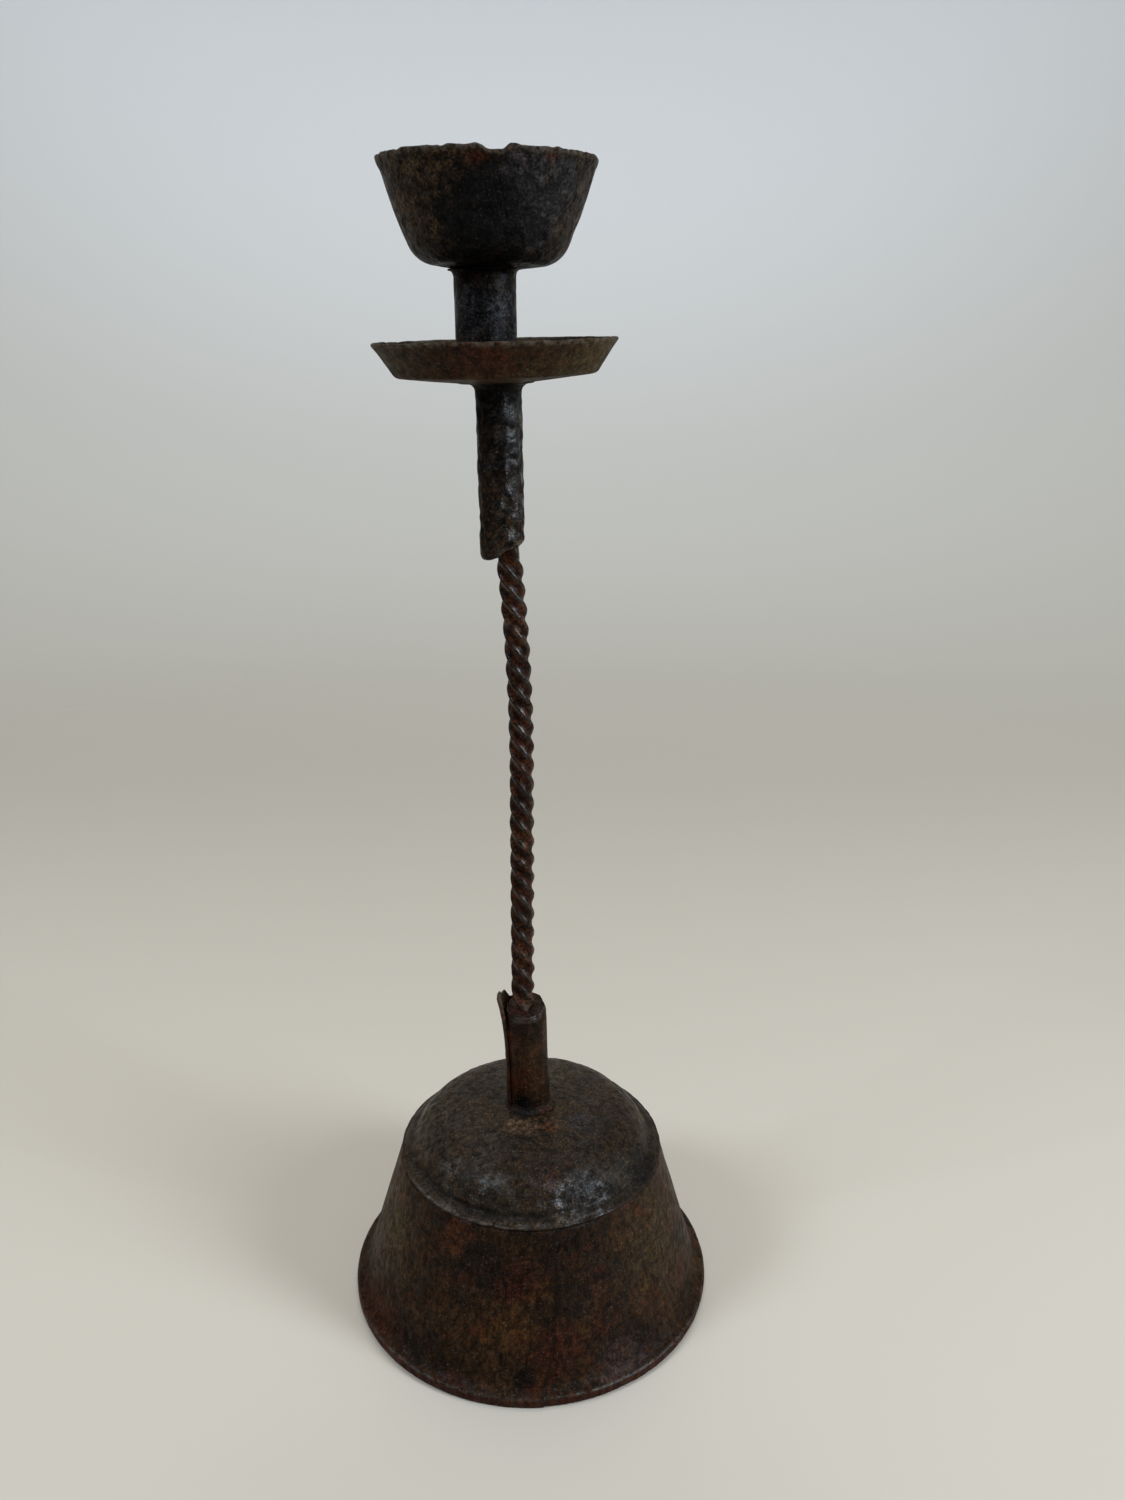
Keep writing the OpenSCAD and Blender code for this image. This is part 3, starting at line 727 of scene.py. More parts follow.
def make_materials():
    looks = {
        "cup_iron": iron("cup_iron", UMBER, DUN, SOOT, DUN, (0.34, 0.54), 0.045, rusty=0.2, grain=1.8,
                         contrast=1.1, wax=0.4, dusty=0.3, patches=CUP_PATCHES),
        "black_iron": iron("black_iron", COAL, UMBER, SOOT, BROWN, (0.3, 0.5), 0.04, rusty=0.2, contrast=1.1, wax=0.85, polish=0.11,
                           patches=BLACK_PATCHES),
        "pan_iron": iron("pan_iron", BROWN, OLIVE, UMBER, RED_RUST, (0.48, 0.66), 0.05, rusty=0.35, grain=0.7,
                         contrast=0.55, wax=0.2, patches=PAN_PATCHES),
        "stem_iron": iron("stem_iron", UMBER, BROWN, SOOT, RED_RUST, (0.3, 0.5), 0.05, rusty=0.7, grain=0.5, wax=0.8),
        "sleeve_iron": iron("sleeve_iron", UMBER, BROWN, BLACK, RED_RUST, (0.4, 0.6), 0.05, rusty=0.3, grain=0.7,
                            contrast=0.55, lines=0.25, patches=SLEEVE_PATCHES),
        "cap_iron": iron("cap_iron", GREY, DUN, BLACK, RED_RUST, (0.3, 0.5), 0.06, rusty=0.1, contrast=0.76, wax=1.0, dusty=0.6,
                         patches=CAP_PATCHES),
        "skirt_iron": iron("skirt_iron", BROWN, UMBER, BLACK, RED_RUST, (0.38, 0.58), 0.04, rusty=0.5, contrast=0.58,
                           lines=0.3, wax=0.5, patches=SKIRT_PATCHES),
        "rusty_iron": iron("rusty_iron", UMBER, BROWN, BLACK, RED_RUST, (0.5, 0.7), 0.1, rusty=0.6, contrast=0.7),
        "braze": iron("braze", UMBER, BROWN, BLACK, OCHRE, (0.45, 0.65), 0.12, rusty=0.4, patches=BRAZE_PATCHES),
    }
    return looks


# Pieces


def wear(t, dents=0.0, dent_size=11.0, pits=0.0, pit_size=2.2, rim=2.0, seed=0):
    """Hammers and pits a turned sheet, and returns its marks."""
    p = t.points
    hollow = hollows(p, pit_size, 0.35, seed)
    if dents:
        t.bend(dents * (hollows(p, dent_size, 0.9, seed + 1) + 0.5 * (1 + noise(p, 2.4 * dent_size, seed + 2))))
    t.push(pits * (hollow + 0.35 * (1 + rough(p, 3.0, 3, seed + 3))))
    edge = 1 - smooth((t.outline.length - t.along) / rim)
    return {"hollow": smooth((hollow - 0.45) / 0.4) * (1 - edge), "worn": edge, "rubbed": 0.3 + 0 * edge}


def bowl(middle, rim, rise, bends, sheet, step, inner=None):
    runs = closed_by_straights((middle, 0), rise, bends, rim)
    start = (middle, 0)
    if inner is not None:
        cut = (inner - middle) / math.cos(math.radians(rise))
        start = (inner, cut * math.sin(math.radians(rise)))
        runs[0] = (runs[0][0] - cut, 0)
    return Outline(start, rise, runs, -sheet, step)


def trim_rim(t, cut, reach=5.0):
    """Cuts the rim down by cut, drawing in the last stretch of the sheet below it."""
    share = smooth((t.along - (t.outline.length - reach)) / reach)
    t.points[..., 2] -= cut * share


def arc_points(t, radius):
    """Points round a circle of that radius, for noise that runs along a rim."""
    a = np.radians(t.angle)
    return np.stack([radius * np.cos(a), radius * np.sin(a), 0 * a], axis=-1)


def angle_from(a, centre):
    return (a - centre + 180) % 360 - 180


def make_cup(material):
    bends = [(CUP_BEND, 90 - CUP_FLARE - CUP_RISE), (CUP_BELLY_R, CUP_FLARE - CUP_RIM_FLARE)]
    outline = bowl(SOCKET_R, (CUP_R, CUP_H), CUP_RISE, bends, CUP_SHEET, 0.7)
    t = Turned(outline, around(CUP_R, 0.6))
    r = np.hypot(t.points[..., 0], t.points[..., 1])
    t.points[..., 0] -= CUP_OFF * (1 - smooth((r - SOCKET_R) / 9))
    rim = arc_points(t, CUP_R)
    off_notch = angle_from(t.angle, NOTCH_ANGLE) * math.radians(CUP_R)
    slope = np.where(off_notch < 0, 0.6, 0.4) * (NOTCH_W - NOTCH_FLOOR_W)
    off_notch = np.abs(off_notch)
    notch = NOTCH_D * (1 - smooth((off_notch - NOTCH_FLOOR_W / 2) / slope))
    cut = 0.35 * (1 + noise(rim, 9, 1)) + 0.3 * (1 + rough(rim, 4.3, 3, 2)) + 0.5 * hollows(rim, 3.7, 0.3, 3)
    beside_notch = 1 - smooth((off_notch - NOTCH_W / 2) / 5)
    trim_rim(t, 0.45 + cut * (1 - 0.75 * beside_notch) + notch)
    marks = wear(t, dents=0.3, dent_size=8, pits=0.18, pit_size=2.0, rim=1.4, seed=5)
    marks["stain"] = 0.6 * smooth((t.along - (outline.length - 3.0)) / 2.0)
    return make_piece("cup_sheet", t.points, AT_CUP, material, ["cup"], marks=marks)


def make_socket(material):
    lip = SOCKET_H + CUP_SHEET + SOCKET_LIP
    outline = Outline((SOCKET_R, -0.4), 90, [(lip + 0.4, 0)], -(SOCKET_R - SOCKET_BORE), 0.6)
    t = Turned(outline, around(SOCKET_R, 0.5))
    p = t.points
    t.bend(0.22 * (1 + noise(p, 13, 4)))
    marks = wear(t, pits=0.14, pit_size=1.8, rim=1.2, seed=11)
    marks["rubbed"] = 0.15 + 0 * t.along
    return make_piece("socket_tube", t.points, AT_SOCKET, material, ["candle_socket"], marks=marks)


def fillet_outline(r, leg, sunk, up=1):
    """The closed outline of a hollow-faced fillet of that leg round a post of radius r."""
    face = [np.array([r + leg, leg]) + leg * 0.95 * unit(a) for a in range(180, 271, 15)]
    base = [np.array([r + leg * 1.05, 0.0]), np.array([r + leg * 1.05, -sunk]), np.array([r - sunk, -sunk])]
    top = [np.array([r - sunk, leg])]
    points = np.array(face + base + top)
    points[:, 1] *= up
    return points


class Ring:
    """A plain closed outline, for a turned ring that isn't sheet."""

    def __init__(self, points, step):
        spread = []
        for a, b in zip(points, np.roll(points, -1, axis=0)):
            n = max(1, math.ceil(np.linalg.norm(b - a) / step))
            spread += [a + (b - a) * i / n for i in range(n)]
        self.points = np.array(spread)
        ahead = np.roll(self.points, -1, axis=0) - np.roll(self.points, 1, axis=0)
        normal = np.stack([ahead[:, 1], -ahead[:, 0]], axis=1)
        x, z = self.points.T
        area = np.sum(x * np.roll(z, -1) - np.roll(x, -1) * z)
        self.normal = normal * np.sign(area) / np.maximum(np.linalg.norm(normal, axis=1, keepdims=True), 1e-9)
        self.side = np.ones(len(self.points))
        self.along = np.zeros(len(self.points))
        self.length = 1e3


def make_fillet(name, r, leg, frame_at, material, node, up=1, seed=0):
    t = Turned(Ring(fillet_outline(r, leg, 0.5, up), 0.35), around(r, 0.45))
    t.push(0.3 * rough(t.points, 3.5, 3, seed) + 0.12)
    marks = {"hollow": hollows(t.points, 1.6, 0.4, seed)}
    return make_piece(name, t.points, frame_at, material, [node], marks=marks)


def make_pan(material):
    bends = [(PAN_BEND, 90 - PAN_FLARE - PAN_RISE)]
    runs = closed_by_straights((FERRULE_R, 0), PAN_RISE, bends, (PAN_R, PAN_H))
    start = (0.4, 0)
    outline = Outline(start, 0, [(FERRULE_R - 0.4, 0), (0.01, PAN_RISE), *runs], -PAN_SHEET, 0.8)
    t = Turned(outline, around(PAN_R, 0.7))
    rim = arc_points(t, PAN_R)
    cut = 0.2 * (1 + noise(rim, 14, 5)) + 0.16 * (1 + rough(rim, 5.1, 3, 6)) + 0.3 * hollows(rim, 4.1, 0.2, 7)
    trim_rim(t, cut, 4)
    marks = wear(t, dents=0.22, dent_size=10, pits=0.1, pit_size=2.2, rim=1.2, seed=21)
    return make_piece("pan_dish", t.points, AT_PAN, material, ["drip_pan"], marks=marks)


def make_ferrule(material):
    crimp_h = CRIMP_R * math.sin(math.radians(CRIMP_TURN))
    start = (FERRULE_R - CRIMP_R * (1 - math.cos(math.radians(CRIMP_TURN))), 0)
    collar = [(FERRULE_FLARE, PAN_RISE - 90)]
    rim = (FERRULE_R + COLLAR_W, FERRULE_H + COLLAR_W * math.tan(math.radians(PAN_RISE)))
    wall = closed_by_straights((FERRULE_R, crimp_h), 90, collar, rim)
    outline = Outline(start, 90 - CRIMP_TURN, [(CRIMP_R, CRIMP_TURN), *wall], -FERRULE_SHEET, 0.5)
    t = Turned(outline, around(FERRULE_R, 0.45))
    x = t.points[..., 0]
    lift = (x + FERRULE_R) * math.tan(math.radians(FERRULE_SLANT))
    tongue = 2.4 * (1 - smooth((x + 0.35 * t.points[..., 1] + 6.5) / 6.5))
    t.points[..., 2] += (lift - tongue) * (1 - smooth(t.points[..., 2] / 16))
    below_collar = smooth((t.outline.length - t.along) / 8)
    p = t.points
    lumps = 0.25 * (1 + noise(p, 9, 8)) + 0.45 * hollows(p * [1, 1, 0.7], 4.2, 0.85, 9) + 0.2 * (1 + noise(p, 2.4, 10))
    t.bend(lumps * below_collar)
    marks = wear(t, pits=0.16, pit_size=2.4, rim=0.01, seed=31)
    marks["worn"] = 0.5 * (1 - smooth(t.along / 1.5))
    band = smooth((62 - np.abs(angle_from(t.angle, 298))) / 25)
    marks["rubbed"] = (0.1 + 0.7 * band) * smooth((t.outline.length - t.along - 4) / 7)
    marks["stain"] = 0.5 * (1 - smooth((t.along - 6) / 12))
    # The top of the collar stays in the sheet of the pan.
    on_collar = smooth((np.hypot(t.points[..., 0], t.points[..., 1]) - FERRULE_R) / 1.5)
    t.points[..., 2] -= 0.3 * on_collar * (1 - t.side)
    return make_piece("ferrule_tube", t.points, AT_FERRULE, material, ["ferrule"], marks=marks)


def bar_x(z):
    if z < BEND_Z:
        return STEM_X
    if z < LIP_Z:
        return STEM_X - (z - BEND_Z) ** 2 / (2 * STEM_BEND_R)
    return LIP_X - (z - LIP_Z) * BEND_SLOPE


def bar_turn(z, low, high):
    u = min(1, max(0, (z - low) / (high - low)))
    return -90 * QUARTER_TURNS * (u - TWIST_EASE * u * (1 - u))


def bar_section(corner, count):
    """Points of a rounded square, with count points on each corner and each flat."""
    flat = BAR_W / 2
    points = []
    for k in range(4):
        corner_at = (flat - corner) * math.sqrt(2) * unit(90 * k + 45)
        points += [corner_at + corner * unit(90 * k + 90 * i / count) for i in range(count + 1)]
        a, b = points[-1], (flat - corner) * math.sqrt(2) * unit(90 * k + 135) + corner * unit(90 * k + 90)
        points += [a + (b - a) * i / count for i in range(1, count)]
    return np.array(points)


def make_stem(material):
    low = MOUTH_Z - BAR_W * MOUTH_SLANT - TWIST_END
    high = LIP_Z - TWIST_END
    foot = SLEEVE_FOOT + FIT
    heights = np.concatenate([np.linspace(foot, low, 12)[:-1], np.arange(low, high, 0.42), np.linspace(high, LIP_Z + STEM_TOP, 24)])
    section = bar_section(BAR_CORNER, 6)
    rows = []
    for z in heights:
        a = math.radians(bar_turn(z, low, high) + 2.5 * math.sin(z / 9.3))
        c, s = math.cos(a), math.sin(a)
        x, y = section.T
        rows.append(np.stack([bar_x(z) + x * c - y * s, x * s + y * c, z + 0 * x], axis=-1))
    points = np.array(rows)
    middle = np.array([[bar_x(z), 0, z] for z in heights])[:, None, :]
    out = points - middle
    r = np.linalg.norm(out, axis=-1)
    worn = smooth((r - BAR_W * 0.535) / (BAR_W * 0.04))
    pits = hollows(points, 1.6, 0.4, 41)
    depth = 0.12 * (1 + rough(points, 4, 3, 42)) + 0.1 * pits
    points = points - out / r[..., None] * depth[..., None]
    collar = smooth((MOUTH_Z + 7.5 - points[..., 2]) / 2.5)
    marks = {
        "hollow": 0.9 * smooth((BAR_W * 0.515 - r) / (BAR_W * 0.02)) * (1 - collar),
        "worn": 0.1 * worn * (1 - collar) + 0.6 * collar,
        "rubbed": 0.8 * worn * (1 - 0.6 * collar),
        "stain": np.maximum(0.5 * collar, 0.5 * (1 - worn)),
    }
    return make_piece("stem_bar", points, UPRIGHT, material, ["stem"], closed=False, marks=marks)


# The corner of the sprung flap stands further out and up than on the frame
FLAP_OUT = 0.9
CORNER_UP = 5.2
CORNER_TIP = 2.2


def sleeve_inner(s, z):
    lap = (SLEEVE_SHEET - 0.1) * smooth(1 - (s - SLEEVE_LAP) / LAP_RUNOUT)
    lifted = np.clip(1 - (SLEEVE_H - z) / FLAP_H, 0, None) ** 2
    return SLEEVE_BORE + lap + (FLAP_SPRING + FLAP_OUT) * smooth(1 - s / FLAP_ARC) * lifted


def make_sleeve(material):
    arc = 360 + SLEEVE_LAP
    across = np.linspace(0, arc, 150)
    foot = -SLEEVE_TAIL - BASE_SHEET
    levels = np.linspace(0, 1, 110)
    rows = []
    for s in across:
        a = SLEEVE_EDGE - s
        top = SLEEVE_H + MOUTH_SLANT * SLEEVE_BORE * sine(a) + CORNER_RISE * smooth(1 - s / CORNER_ARC)
        top += CORNER_UP * smooth((72 - s) / 20) * (0.4 + 0.6 * smooth(s / 16))
        top += CORNER_TIP * smooth((s - 2) / 16) * smooth((46 - s) / 14)
        top -= 0.7 * (1 + noise(SLEEVE_BORE * np.append(unit(a), 0), 1.5, 56)) * smooth((60 - s) / 10)
        top -= 0.35 * (1 + noise(SLEEVE_BORE * np.append(unit(a), s / 90), 3.5, 54))
        z = foot + (top - foot) * levels
        inner = sleeve_inner(s, z)
        rounding = [0.06 * SLEEVE_SHEET, 0.2 * SLEEVE_SHEET, 0.4 * SLEEVE_SHEET]
        rise = [0.3 * SLEEVE_SHEET, 0.5 * SLEEVE_SHEET, 0.3 * SLEEVE_SHEET]
        sides = 9 if s > 30 else 30
        facing = 1 - math.cos(math.radians((a % (360 / sides)) - 180 / sides))
        peened = (0.75 - 9 * facing * (s > 30)) * smooth((z - (top - 2.6)) / 2.4)
        sheet = SLEEVE_SHEET - 0.45 * smooth(1 - s / 7) - peened
        outer = np.stack([inner + sheet, z - 0.5 * SLEEVE_SHEET * levels**40], axis=-1)
        inside = np.stack([inner, z - 0.5 * SLEEVE_SHEET * levels**40], axis=-1)[::-1]
        over = [[inner[-1] + sheet[-1] - e, top - 0.5 * SLEEVE_SHEET + h] for e, h in zip(rounding, rise)]
        ring = np.concatenate([outer, over, inside])
        c, sn = unit(a)
        rows.append(np.stack([ring[:, 0] * c, ring[:, 0] * sn, ring[:, 1]], axis=-1))
    points = np.array(rows)
    out = points * np.array([1, 1, 0])
    out = out / np.linalg.norm(out, axis=-1, keepdims=True)
    facets = 0.2 * (1 + noise(points * [1, 1, 0.25], 5.5, 55))
    points = points - out * (facets + 0.1 * (1 + noise(points, 9, 51)) + 0.1 * hollows(points, 2.0, 0.4, 52))[..., None]
    near_top = np.concatenate([smooth((levels - 0.94) / 0.03), np.ones(3), smooth((levels[::-1] - 0.965) / 0.03)])
    edge = smooth(1 - across / 12)[:, None]
    front = (smooth(0.5 + 0.5 * np.cos(np.radians(SLEEVE_EDGE - across - 282))) ** 2)[:, None]
    inside = np.concatenate([np.zeros(len(levels) + 3), smooth((levels[::-1] - 0.84) / 0.08)])
    # Painted light: the inner face of the sprung flap near the mouth is made pale (worn), and the tube under the flap
    # rust-red (stain), so that the shaded gap between them reads lighter.
    flap_inside_painted_light = smooth((80 - across) / 20)[:, None] * inside[None, :]
    under_flap_painted_light = smooth((across - (arc - 55)) / 20)[:, None]
    marks = {
        "hollow": 0.4 * hollows(points, 2.6, 0.3, 53),
        "worn": np.maximum(0.45 * near_top[None, :] * np.maximum(front, edge), 0.9 * flap_inside_painted_light),
        "rubbed": 0.2 + 0.8 * near_top[None, :] * front,
        "stain": np.maximum(0.5 * edge, 0.8 * under_flap_painted_light) + 0 * points[..., 0],
    }
    return make_piece("sleeve_roll", points, AT_SLEEVE, material, ["stem_sleeve"], closed=False, marks=marks)


def make_filling(material):
    """The wedges round the bar, rusted into one mass, as the sleeve's mouth shows it."""
    outline = Ring(np.array([[SLEEVE_BORE + 0.1, 8.0], [SLEEVE_BORE + 0.1, SLEEVE_H - 0.8], [5.2, SLEEVE_H - 0.1],
                             [3.4, SLEEVE_H], [3.4, 8.0]]), 0.5)
    t = Turned(outline, around(SLEEVE_BORE, 0.5))
    y = t.points[..., 1]
    t.points[..., 2] += MOUTH_SLANT * y + 0.5
    t.push(0.25 * (1 + rough(t.points, 3, 3, 61)))
    left_half = smooth((2 - t.points[..., 0]) / 5)
    marks = {"hollow": 0.5 * hollows(t.points, 1.8, 0.4, 62), "stain": 0.7 * left_half}
    return make_piece("sleeve_filling", t.points, AT_SLEEVE, material, ["sleeve_wedges"], marks=marks)


SHOULDER_END = 62.0
shoulder_centre_r = CAP_R - brim_reach - SHOULDER_R * sine(SHOULDER_SLOPE)
SHOULDER_END_R = shoulder_centre_r + SHOULDER_R * sine(SHOULDER_END)


def flare_gain(u):
    """How far the cap's worn edge flares above the sharp brim, u past the end of the shoulder."""
    last = CAP_R - SHOULDER_END_R
    return 1.7 * np.sin(np.pi * u / last) ** 2


def make_cap(material):
    runs = [*CAP_BENDS, (BRIM_W, 0)]
    hole = SLEEVE_BORE + 0.6
    turn = math.degrees(math.asin(hole / CROWN_R))
    start = (hole, CAP_TOP - CROWN_R * (1 - math.cos(math.radians(turn))))
    runs[0] = (CROWN_R, -(CROWN_SLOPE - turn))
    outline = Outline(start, -turn, runs, BASE_SHEET, 0.8)
    t = Turned(outline, around(CAP_R, 0.8))
    r = np.hypot(t.points[..., 0], t.points[..., 1])
    t.points[..., 0] += SLEEVE_X * (1 - smooth((r - hole) / 9))
    sideways = smooth((np.abs(angle_from(t.angle, 262)) - 35) / 40)
    u = np.clip(r - SHOULDER_END_R, 0, CAP_R - SHOULDER_END_R)
    right_front = smooth((17 - np.abs(angle_from(t.angle, 293))) / 6)
    right = smooth((np.abs(angle_from(t.angle, 350)) - 50) / -12)
    t.points[..., 2] += (0.35 + 0.65 * np.maximum(sideways, right_front)) * flare_gain(u)
    shoulder = smooth((r - 34) / 8) * smooth((CAP_R - 1.5 - r) / 3)
    t.bend(shoulder * (0.3 * (1 + noise(t.points, 17, 71)) + 0.45 * hollows(t.points, 5, 0.8, 74)))
    brim = arc_points(t, CAP_R)
    edge = smooth((t.along - (t.outline.length - 2.0)) / 2.0)
    ragged = edge * (0.25 * (1 + noise(brim, 10, 72)) + 0.15 * (1 + noise(brim, 3, 73)))
    t.points[..., :2] *= (1 - ragged / CAP_R)[..., None]
    marks = wear(t, dents=0.22, dent_size=12, pits=0.1, pit_size=2.0, rim=1.0, seed=75)
    # The pale worn edge of the brim stays only at the left front, where it is wear and also a painted highlight.
    brim_wear_and_highlight = smooth((36 - np.abs(angle_from(t.angle, 238))) / 18)
    marks["worn"] = marks["worn"] * (0.05 + 0.95 * brim_wear_and_highlight)
    bend = 1 - smooth((np.abs(t.along - (outline.length - BRIM_W - 2.6)) - 0.8) / 2.2)
    # Painted shade: the concave bend under the shoulder at the front, and the outer edge on the right.
    marks["hollow"] = np.maximum(marks["hollow"], 0.6 * bend * (1 - sideways) * (1 - 0.7 * right_front) * (t.side > 0))
    marks["hollow"] = np.maximum(marks["hollow"], 0.55 * smooth((r - CAP_R + 6) / 3) * right * (t.side > -0.9))
    spots = smooth((0.35 + noise(t.points, 7, 76)) / 0.5)
    shine = np.maximum(0.6 * spots * (1 - 0.85 * bend) * (1 - right), right_front * (0.3 + 0.7 * spots))
    marks["rubbed"] = 0.1 + 0.9 * shine * smooth((r - 42) / 5) * (1 - 0.8 * sideways)
    return make_piece("cap_shell", t.points, UPRIGHT, material, ["base_cap"], marks=marks)


SEAM_HEIGHTS = (2, 8, 12, 18, 23, 33, 61)
SEAM_TURNS = (3.5, 4.0, 5.0, 6.8, 7.6, 8.0, 9.1)


def seam_angle(z):
    """Direction of the skirt's seam at height z: it leans, and veers near the hem."""
    return FRONT + np.interp(z, SEAM_HEIGHTS, SEAM_TURNS)


SEAM_PIT = np.array([10.3, -58.6, 60.3])


def square_hem(t):
    """Makes the rolled hem squarer, with a sharp crest and an upright face, as beating did."""
    r = np.hypot(t.points[..., 0], t.points[..., 1])
    off_r, off_z = r - HEM_CENTRE[0], t.points[..., 2] - HEM_CENTRE[1]
    around_hem = np.maximum(np.hypot(off_r, off_z), 1e-6)
    c, sn = np.abs(off_r / around_hem), np.abs(off_z / around_hem)
    grow = (c**4 + sn**4) ** -0.25 - 1
    on_hem = (t.side > 0) * (off_r > -0.2) * smooth((HEM_R + 1.4 - around_hem) / 0.8)
    t.points[..., :2] *= (1 + grow * on_hem * off_r / r)[..., None]
    t.points[..., 2] += grow * on_hem * off_z


def make_skirt(material):
    runs = [
        (FLANGE_W - FLANGE_TRIM, 0),
        (FLANGE_BEND, -FLANGE_TURN),
        (SKIRT_WALL, 0),
        (FLARE_R, HEM_ANGLE - SKIRT_LEAN),
        (HEM_R, -HEM_TURN),
    ]
    outline = Outline(SKIRT_START, 0, runs, BASE_SHEET, 0.97)
    close = np.array([0, 0.12, 0.25, 0.45, 0.7, 0.95])
    turns = np.concatenate([close, np.linspace(1.3, 358.9, 500), [359.2, 359.45, 359.65, 359.8]])
    t = Turned(outline, seam_angle(outline.points[:, 1])[None, :] + turns[:, None])
    u = turns[:, None] / 360
    step = LAP_STEP * u * smooth(turns[:, None] / 0.25) - 0 * t.along
    flat = np.stack([t.cos, t.sin, 0 * t.cos], axis=-1)
    t.points = t.points + flat * step[..., None]
    square_hem(t)
    p = t.points
    streaks = noise(p * np.array([1, 1, 0.16]), 2.6, 82) + noise(p * np.array([1, 1, 0.2]), 6, 83)
    wall = smooth((SKIRT_H - 3 - p[..., 2]) / 5) * smooth((p[..., 2] - 7) / 6)
    t.push((0.12 + 0.07 * (2 + streaks) * wall) * (t.side > 0))
    marks = wear(t, dents=0.16, dent_size=14, pits=0.1, pit_size=2.0, rim=0.01, seed=85)
    off_seam = np.minimum(turns, 360 - turns)[:, None] + 0.2 * noise(p * [1, 1, 0.5], 2.5, 86)
    pit = np.clip(1 - np.linalg.norm(p - SEAM_PIT, axis=-1) / 1.3, 0, 1)
    seam = np.maximum(0.85 - 0.85 * smooth(off_seam / 1.25), smooth(1.8 * pit))
    t.push(1.0 * smooth(1.6 * pit) * (t.side > 0))
    beside_seam = 0.3 * smooth((16 - turns[:, None]) / 12) * smooth((p[..., 2] - 24) / 10)
    marks["hollow"] = np.maximum(marks["hollow"], np.maximum(seam, beside_seam) * (t.side > 0))
    hem = outline.length - HEM_R * math.radians(HEM_TURN)
    crest = smooth(1 - np.abs(t.along - hem - 0.8) / 0.9) * (t.side > 0)
    # The hem's pale crest is wear all round and, on each side of the front, also a painted highlight.
    crest_highlight_sides = smooth((np.abs(angle_from(t.angle, FRONT)) - 8) / 12) * smooth((70 - np.abs(angle_from(t.angle, FRONT))) / 20)
    marks["worn"] = crest * (0.45 + 0.55 * crest_highlight_sides)
    marks["rubbed"] = 0.2 + 0.8 * crest
    marks["stain"] = 0.8 * smooth((t.along - hem - 1.4) / 0.6)
    below = t.points[..., 2] < 0
    t.points[..., 2] = np.where(below, 0, t.points[..., 2])
    return make_piece("skirt_shell", t.points, UPRIGHT, material, ["base_skirt"], marks=marks)


def paint_nodes(materials):
    """The pieces that stay as the frame has them get their materials."""
    looks = {"ferrule_wedges": "rusty_iron", "cap_braze": "braze", "rim_wire": "black_iron"}
    for node, slot in looks.items():
        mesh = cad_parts[node].data
        mesh.materials.clear()
        mesh.materials.append(materials[slot])


def make_candlestick():
    m = make_materials()
    make_cup(m["cup_iron"])
    make_fillet("cup_fillet", SOCKET_R, CUP_FILLET, AT_SOCKET @ moved(0, 0, SOCKET_H), m["black_iron"], "cup_braze", -1, 91)
    make_socket(m["black_iron"])
    make_fillet("socket_fillet", SOCKET_R, BRAZE, AT_SOCKET, m["braze"], "socket_braze", 1, 92)
    make_pan(m["pan_iron"])
    make_ferrule(m["black_iron"])
    make_stem(m["stem_iron"])
    make_sleeve(m["sleeve_iron"])
    make_filling(m["rusty_iron"])
    make_fillet("sleeve_fillet", SLEEVE_BORE + SLEEVE_SHEET, BRAZE, AT_SLEEVE, m["braze"], "sleeve_braze", 1, 93)
    make_cap(m["cap_iron"])
    make_skirt(m["skirt_iron"])
    paint_nodes(m)


# Stage: a pale floor that curves up into a pale wall behind. In front the room is dark, but for its windows.

# The backdrop's colour changes with depth to paint its light. The floor darkens towards the back, painted shade where
# it curves into the wall, and the wall turns paler going up, painted light.
FLOOR_NEAR = (0.56, 0.50, 0.42, 1.0)
FLOOR_PAINTED_SHADE = (0.438, 0.40, 0.335, 1.0)
WALL_FOOT = (0.61, 0.597, 0.56, 1.0)
WALL_PAINTED_LIGHT = (0.79, 0.80, 0.81, 1.0)


def make_stage():
    floor_r, curve, rise = 1.0, 1.7, 80
    turns = np.radians(rise * np.linspace(0, 1, 25) ** 1.8)
    outline = [(floor_r + curve * math.sin(a), curve - curve * math.cos(a)) for a in turns]
    count, from_k, to_k = 128, 8, 56
    vertices = [(r * math.cos(2 * math.pi * k / count), r * math.sin(2 * math.pi * k / count), z)
                for r, z in outline for k in range(count)]
    faces = [list(range(count))]
    for j in range(len(outline) - 1):
        for k in range(from_k, to_k):
            k1, k2 = k % count, (k + 1) % count
            faces.append([j * count + k1, j * count + k2, (j + 1) * count + k2, (j + 1) * count + k1])
    mesh = bpy.data.meshes.new("backdrop")
    mesh.from_pydata(vertices, [], faces)
    curved = np.ones(len(mesh.polygons), bool)
    curved[0] = False
    mesh.polygons.foreach_set("use_smooth", curved)
    s = Shader("backdrop")
    split = s.add("ShaderNodeSeparateXYZ")
    s.join(s.coordinates, split.inputs[0])
    depth = split.outputs["Y"]
    # Painted shade and light: darker floor towards the back, then paler up the wall.
    colour = s.mix(s.ramp(depth, -0.1, 0.75), FLOOR_NEAR, FLOOR_PAINTED_SHADE)
    colour = s.mix(s.ramp(depth, 0.5, 2.0), colour, WALL_FOOT)
    colour = s.mix(s.ramp(depth, 1.7, 2.5), colour, WALL_PAINTED_LIGHT)
    s.join(colour, s.bsdf.inputs["Base Color"])
    s.bsdf.inputs["Roughness"].default_value = 0.9
    s.bsdf.inputs["Specular IOR Level"].default_value = 0.1
    mesh.materials.append(s.material)
    backdrop = bpy.data.objects.new("backdrop", mesh)
    bpy.context.scene.collection.objects.link(backdrop)


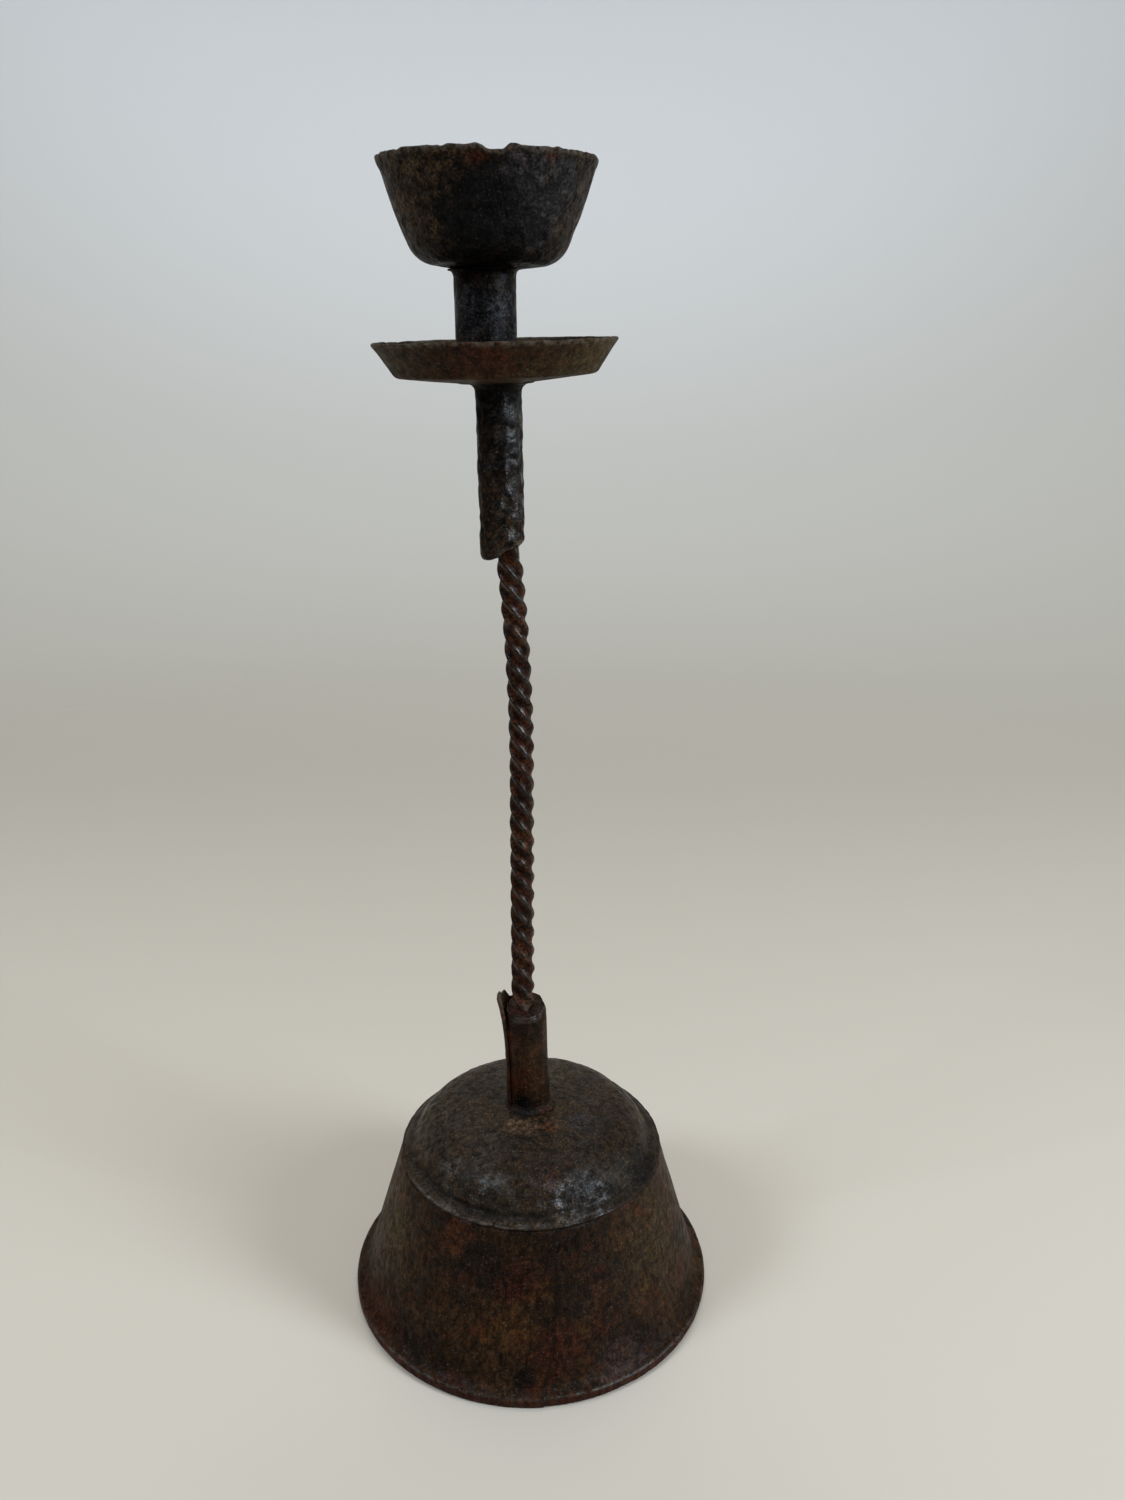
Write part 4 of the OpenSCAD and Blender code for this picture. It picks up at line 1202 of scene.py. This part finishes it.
def make_lamp(name, toward, distance, aim, size, watts, colour):
    """A square area lamp that far from its aim, on the given way from it."""
    data = bpy.data.lights.new(name, "AREA")
    data.shape = "RECTANGLE"
    data.size, data.size_y = size
    data.energy = watts
    data.color = colour
    lamp = bpy.data.objects.new(name, data)
    way = Vector(toward).normalized()
    lamp.location = Vector(aim) + distance * way
    lamp.rotation_euler = (-way).to_track_quat("-Z", "Y").to_euler()
    bpy.context.scene.collection.objects.link(lamp)


def make_light():
    world = bpy.data.worlds.new("room")
    world.use_nodes = True
    tree = world.node_tree
    background = tree.nodes["Background"]
    split = tree.nodes.new("ShaderNodeSeparateXYZ")
    tree.links.new(tree.nodes.new("ShaderNodeTexCoord").outputs["Generated"], split.inputs[0])
    height = tree.nodes.new("ShaderNodeMapRange")
    tree.links.new(split.outputs["Z"], height.inputs["Value"])
    for key, number in zip(("From Min", "From Max", "To Min", "To Max"), (0.3, 0.95, 0.05, 0.4)):
        height.inputs[key].default_value = number
    background.inputs["Color"].default_value = (0.96, 0.98, 1.0, 1.0)
    tree.links.new(height.outputs["Result"], background.inputs["Strength"])
    bpy.context.scene.world = world
    make_lamp("ceiling", (0, 0.45, 1), 2.4, (0, 0.1, 0.1), (1.8, 1.4), 13, (1.0, 0.98, 0.93))
    make_lamp("wall_light", (0, -0.9, 1.1), 2.2, (0, 2.4, 1.7), (1.6, 0.5), 26, (0.93, 0.97, 1.0))
    make_lamp("right_window", (0.8, -0.42, 0.42), 1.8, (0, 0, 0.1), (0.5, 1.1), 33, (0.78, 0.89, 1.0))
    make_lamp("left_window", (-0.62, -0.3, 0.62), 1.7, (0, 0, 0.1), (0.45, 0.5), 14, (0.78, 0.89, 1.0))


# Camera: a phone held at the height of the pan, looking down a little

IMAGE_W, IMAGE_H = 1125, 1500
FOCAL_PX = 1213.0
FULL_SENSOR = 36.0
CAMERA_Y, CAMERA_Z = -0.4532, 0.4146
PITCH, YAW, ROLL = 19.49, 1.567, 0.4
SHIFT_PX = -0.7


def make_camera():
    data = bpy.data.cameras.new("camera")
    data.sensor_fit = "AUTO"
    data.sensor_width = FULL_SENSOR
    data.lens = FULL_SENSOR * FOCAL_PX / IMAGE_H
    data.shift_x = -SHIFT_PX / IMAGE_H
    data.clip_start = 0.02
    camera = bpy.data.objects.new("camera", data)
    pitch, yaw, roll = (math.radians(a) for a in (PITCH, YAW, ROLL))
    ahead = Vector((math.sin(yaw) * math.cos(pitch), math.cos(yaw) * math.cos(pitch), -math.sin(pitch)))
    right = Vector((math.cos(yaw), -math.sin(yaw), 0))
    up = right.cross(ahead)
    tilted_right = right * math.cos(roll) + up * math.sin(roll)
    tilted_up = up * math.cos(roll) - right * math.sin(roll)
    turn = Matrix((tilted_right, tilted_up, -ahead)).transposed()
    camera.matrix_world = Matrix.Translation((0, CAMERA_Y, CAMERA_Z)) @ turn.to_4x4()
    bpy.context.scene.collection.objects.link(camera)
    bpy.context.scene.camera = camera


make_candlestick()
make_stage()
make_light()
make_camera()
bpy.context.scene.view_settings.view_transform = "Standard"
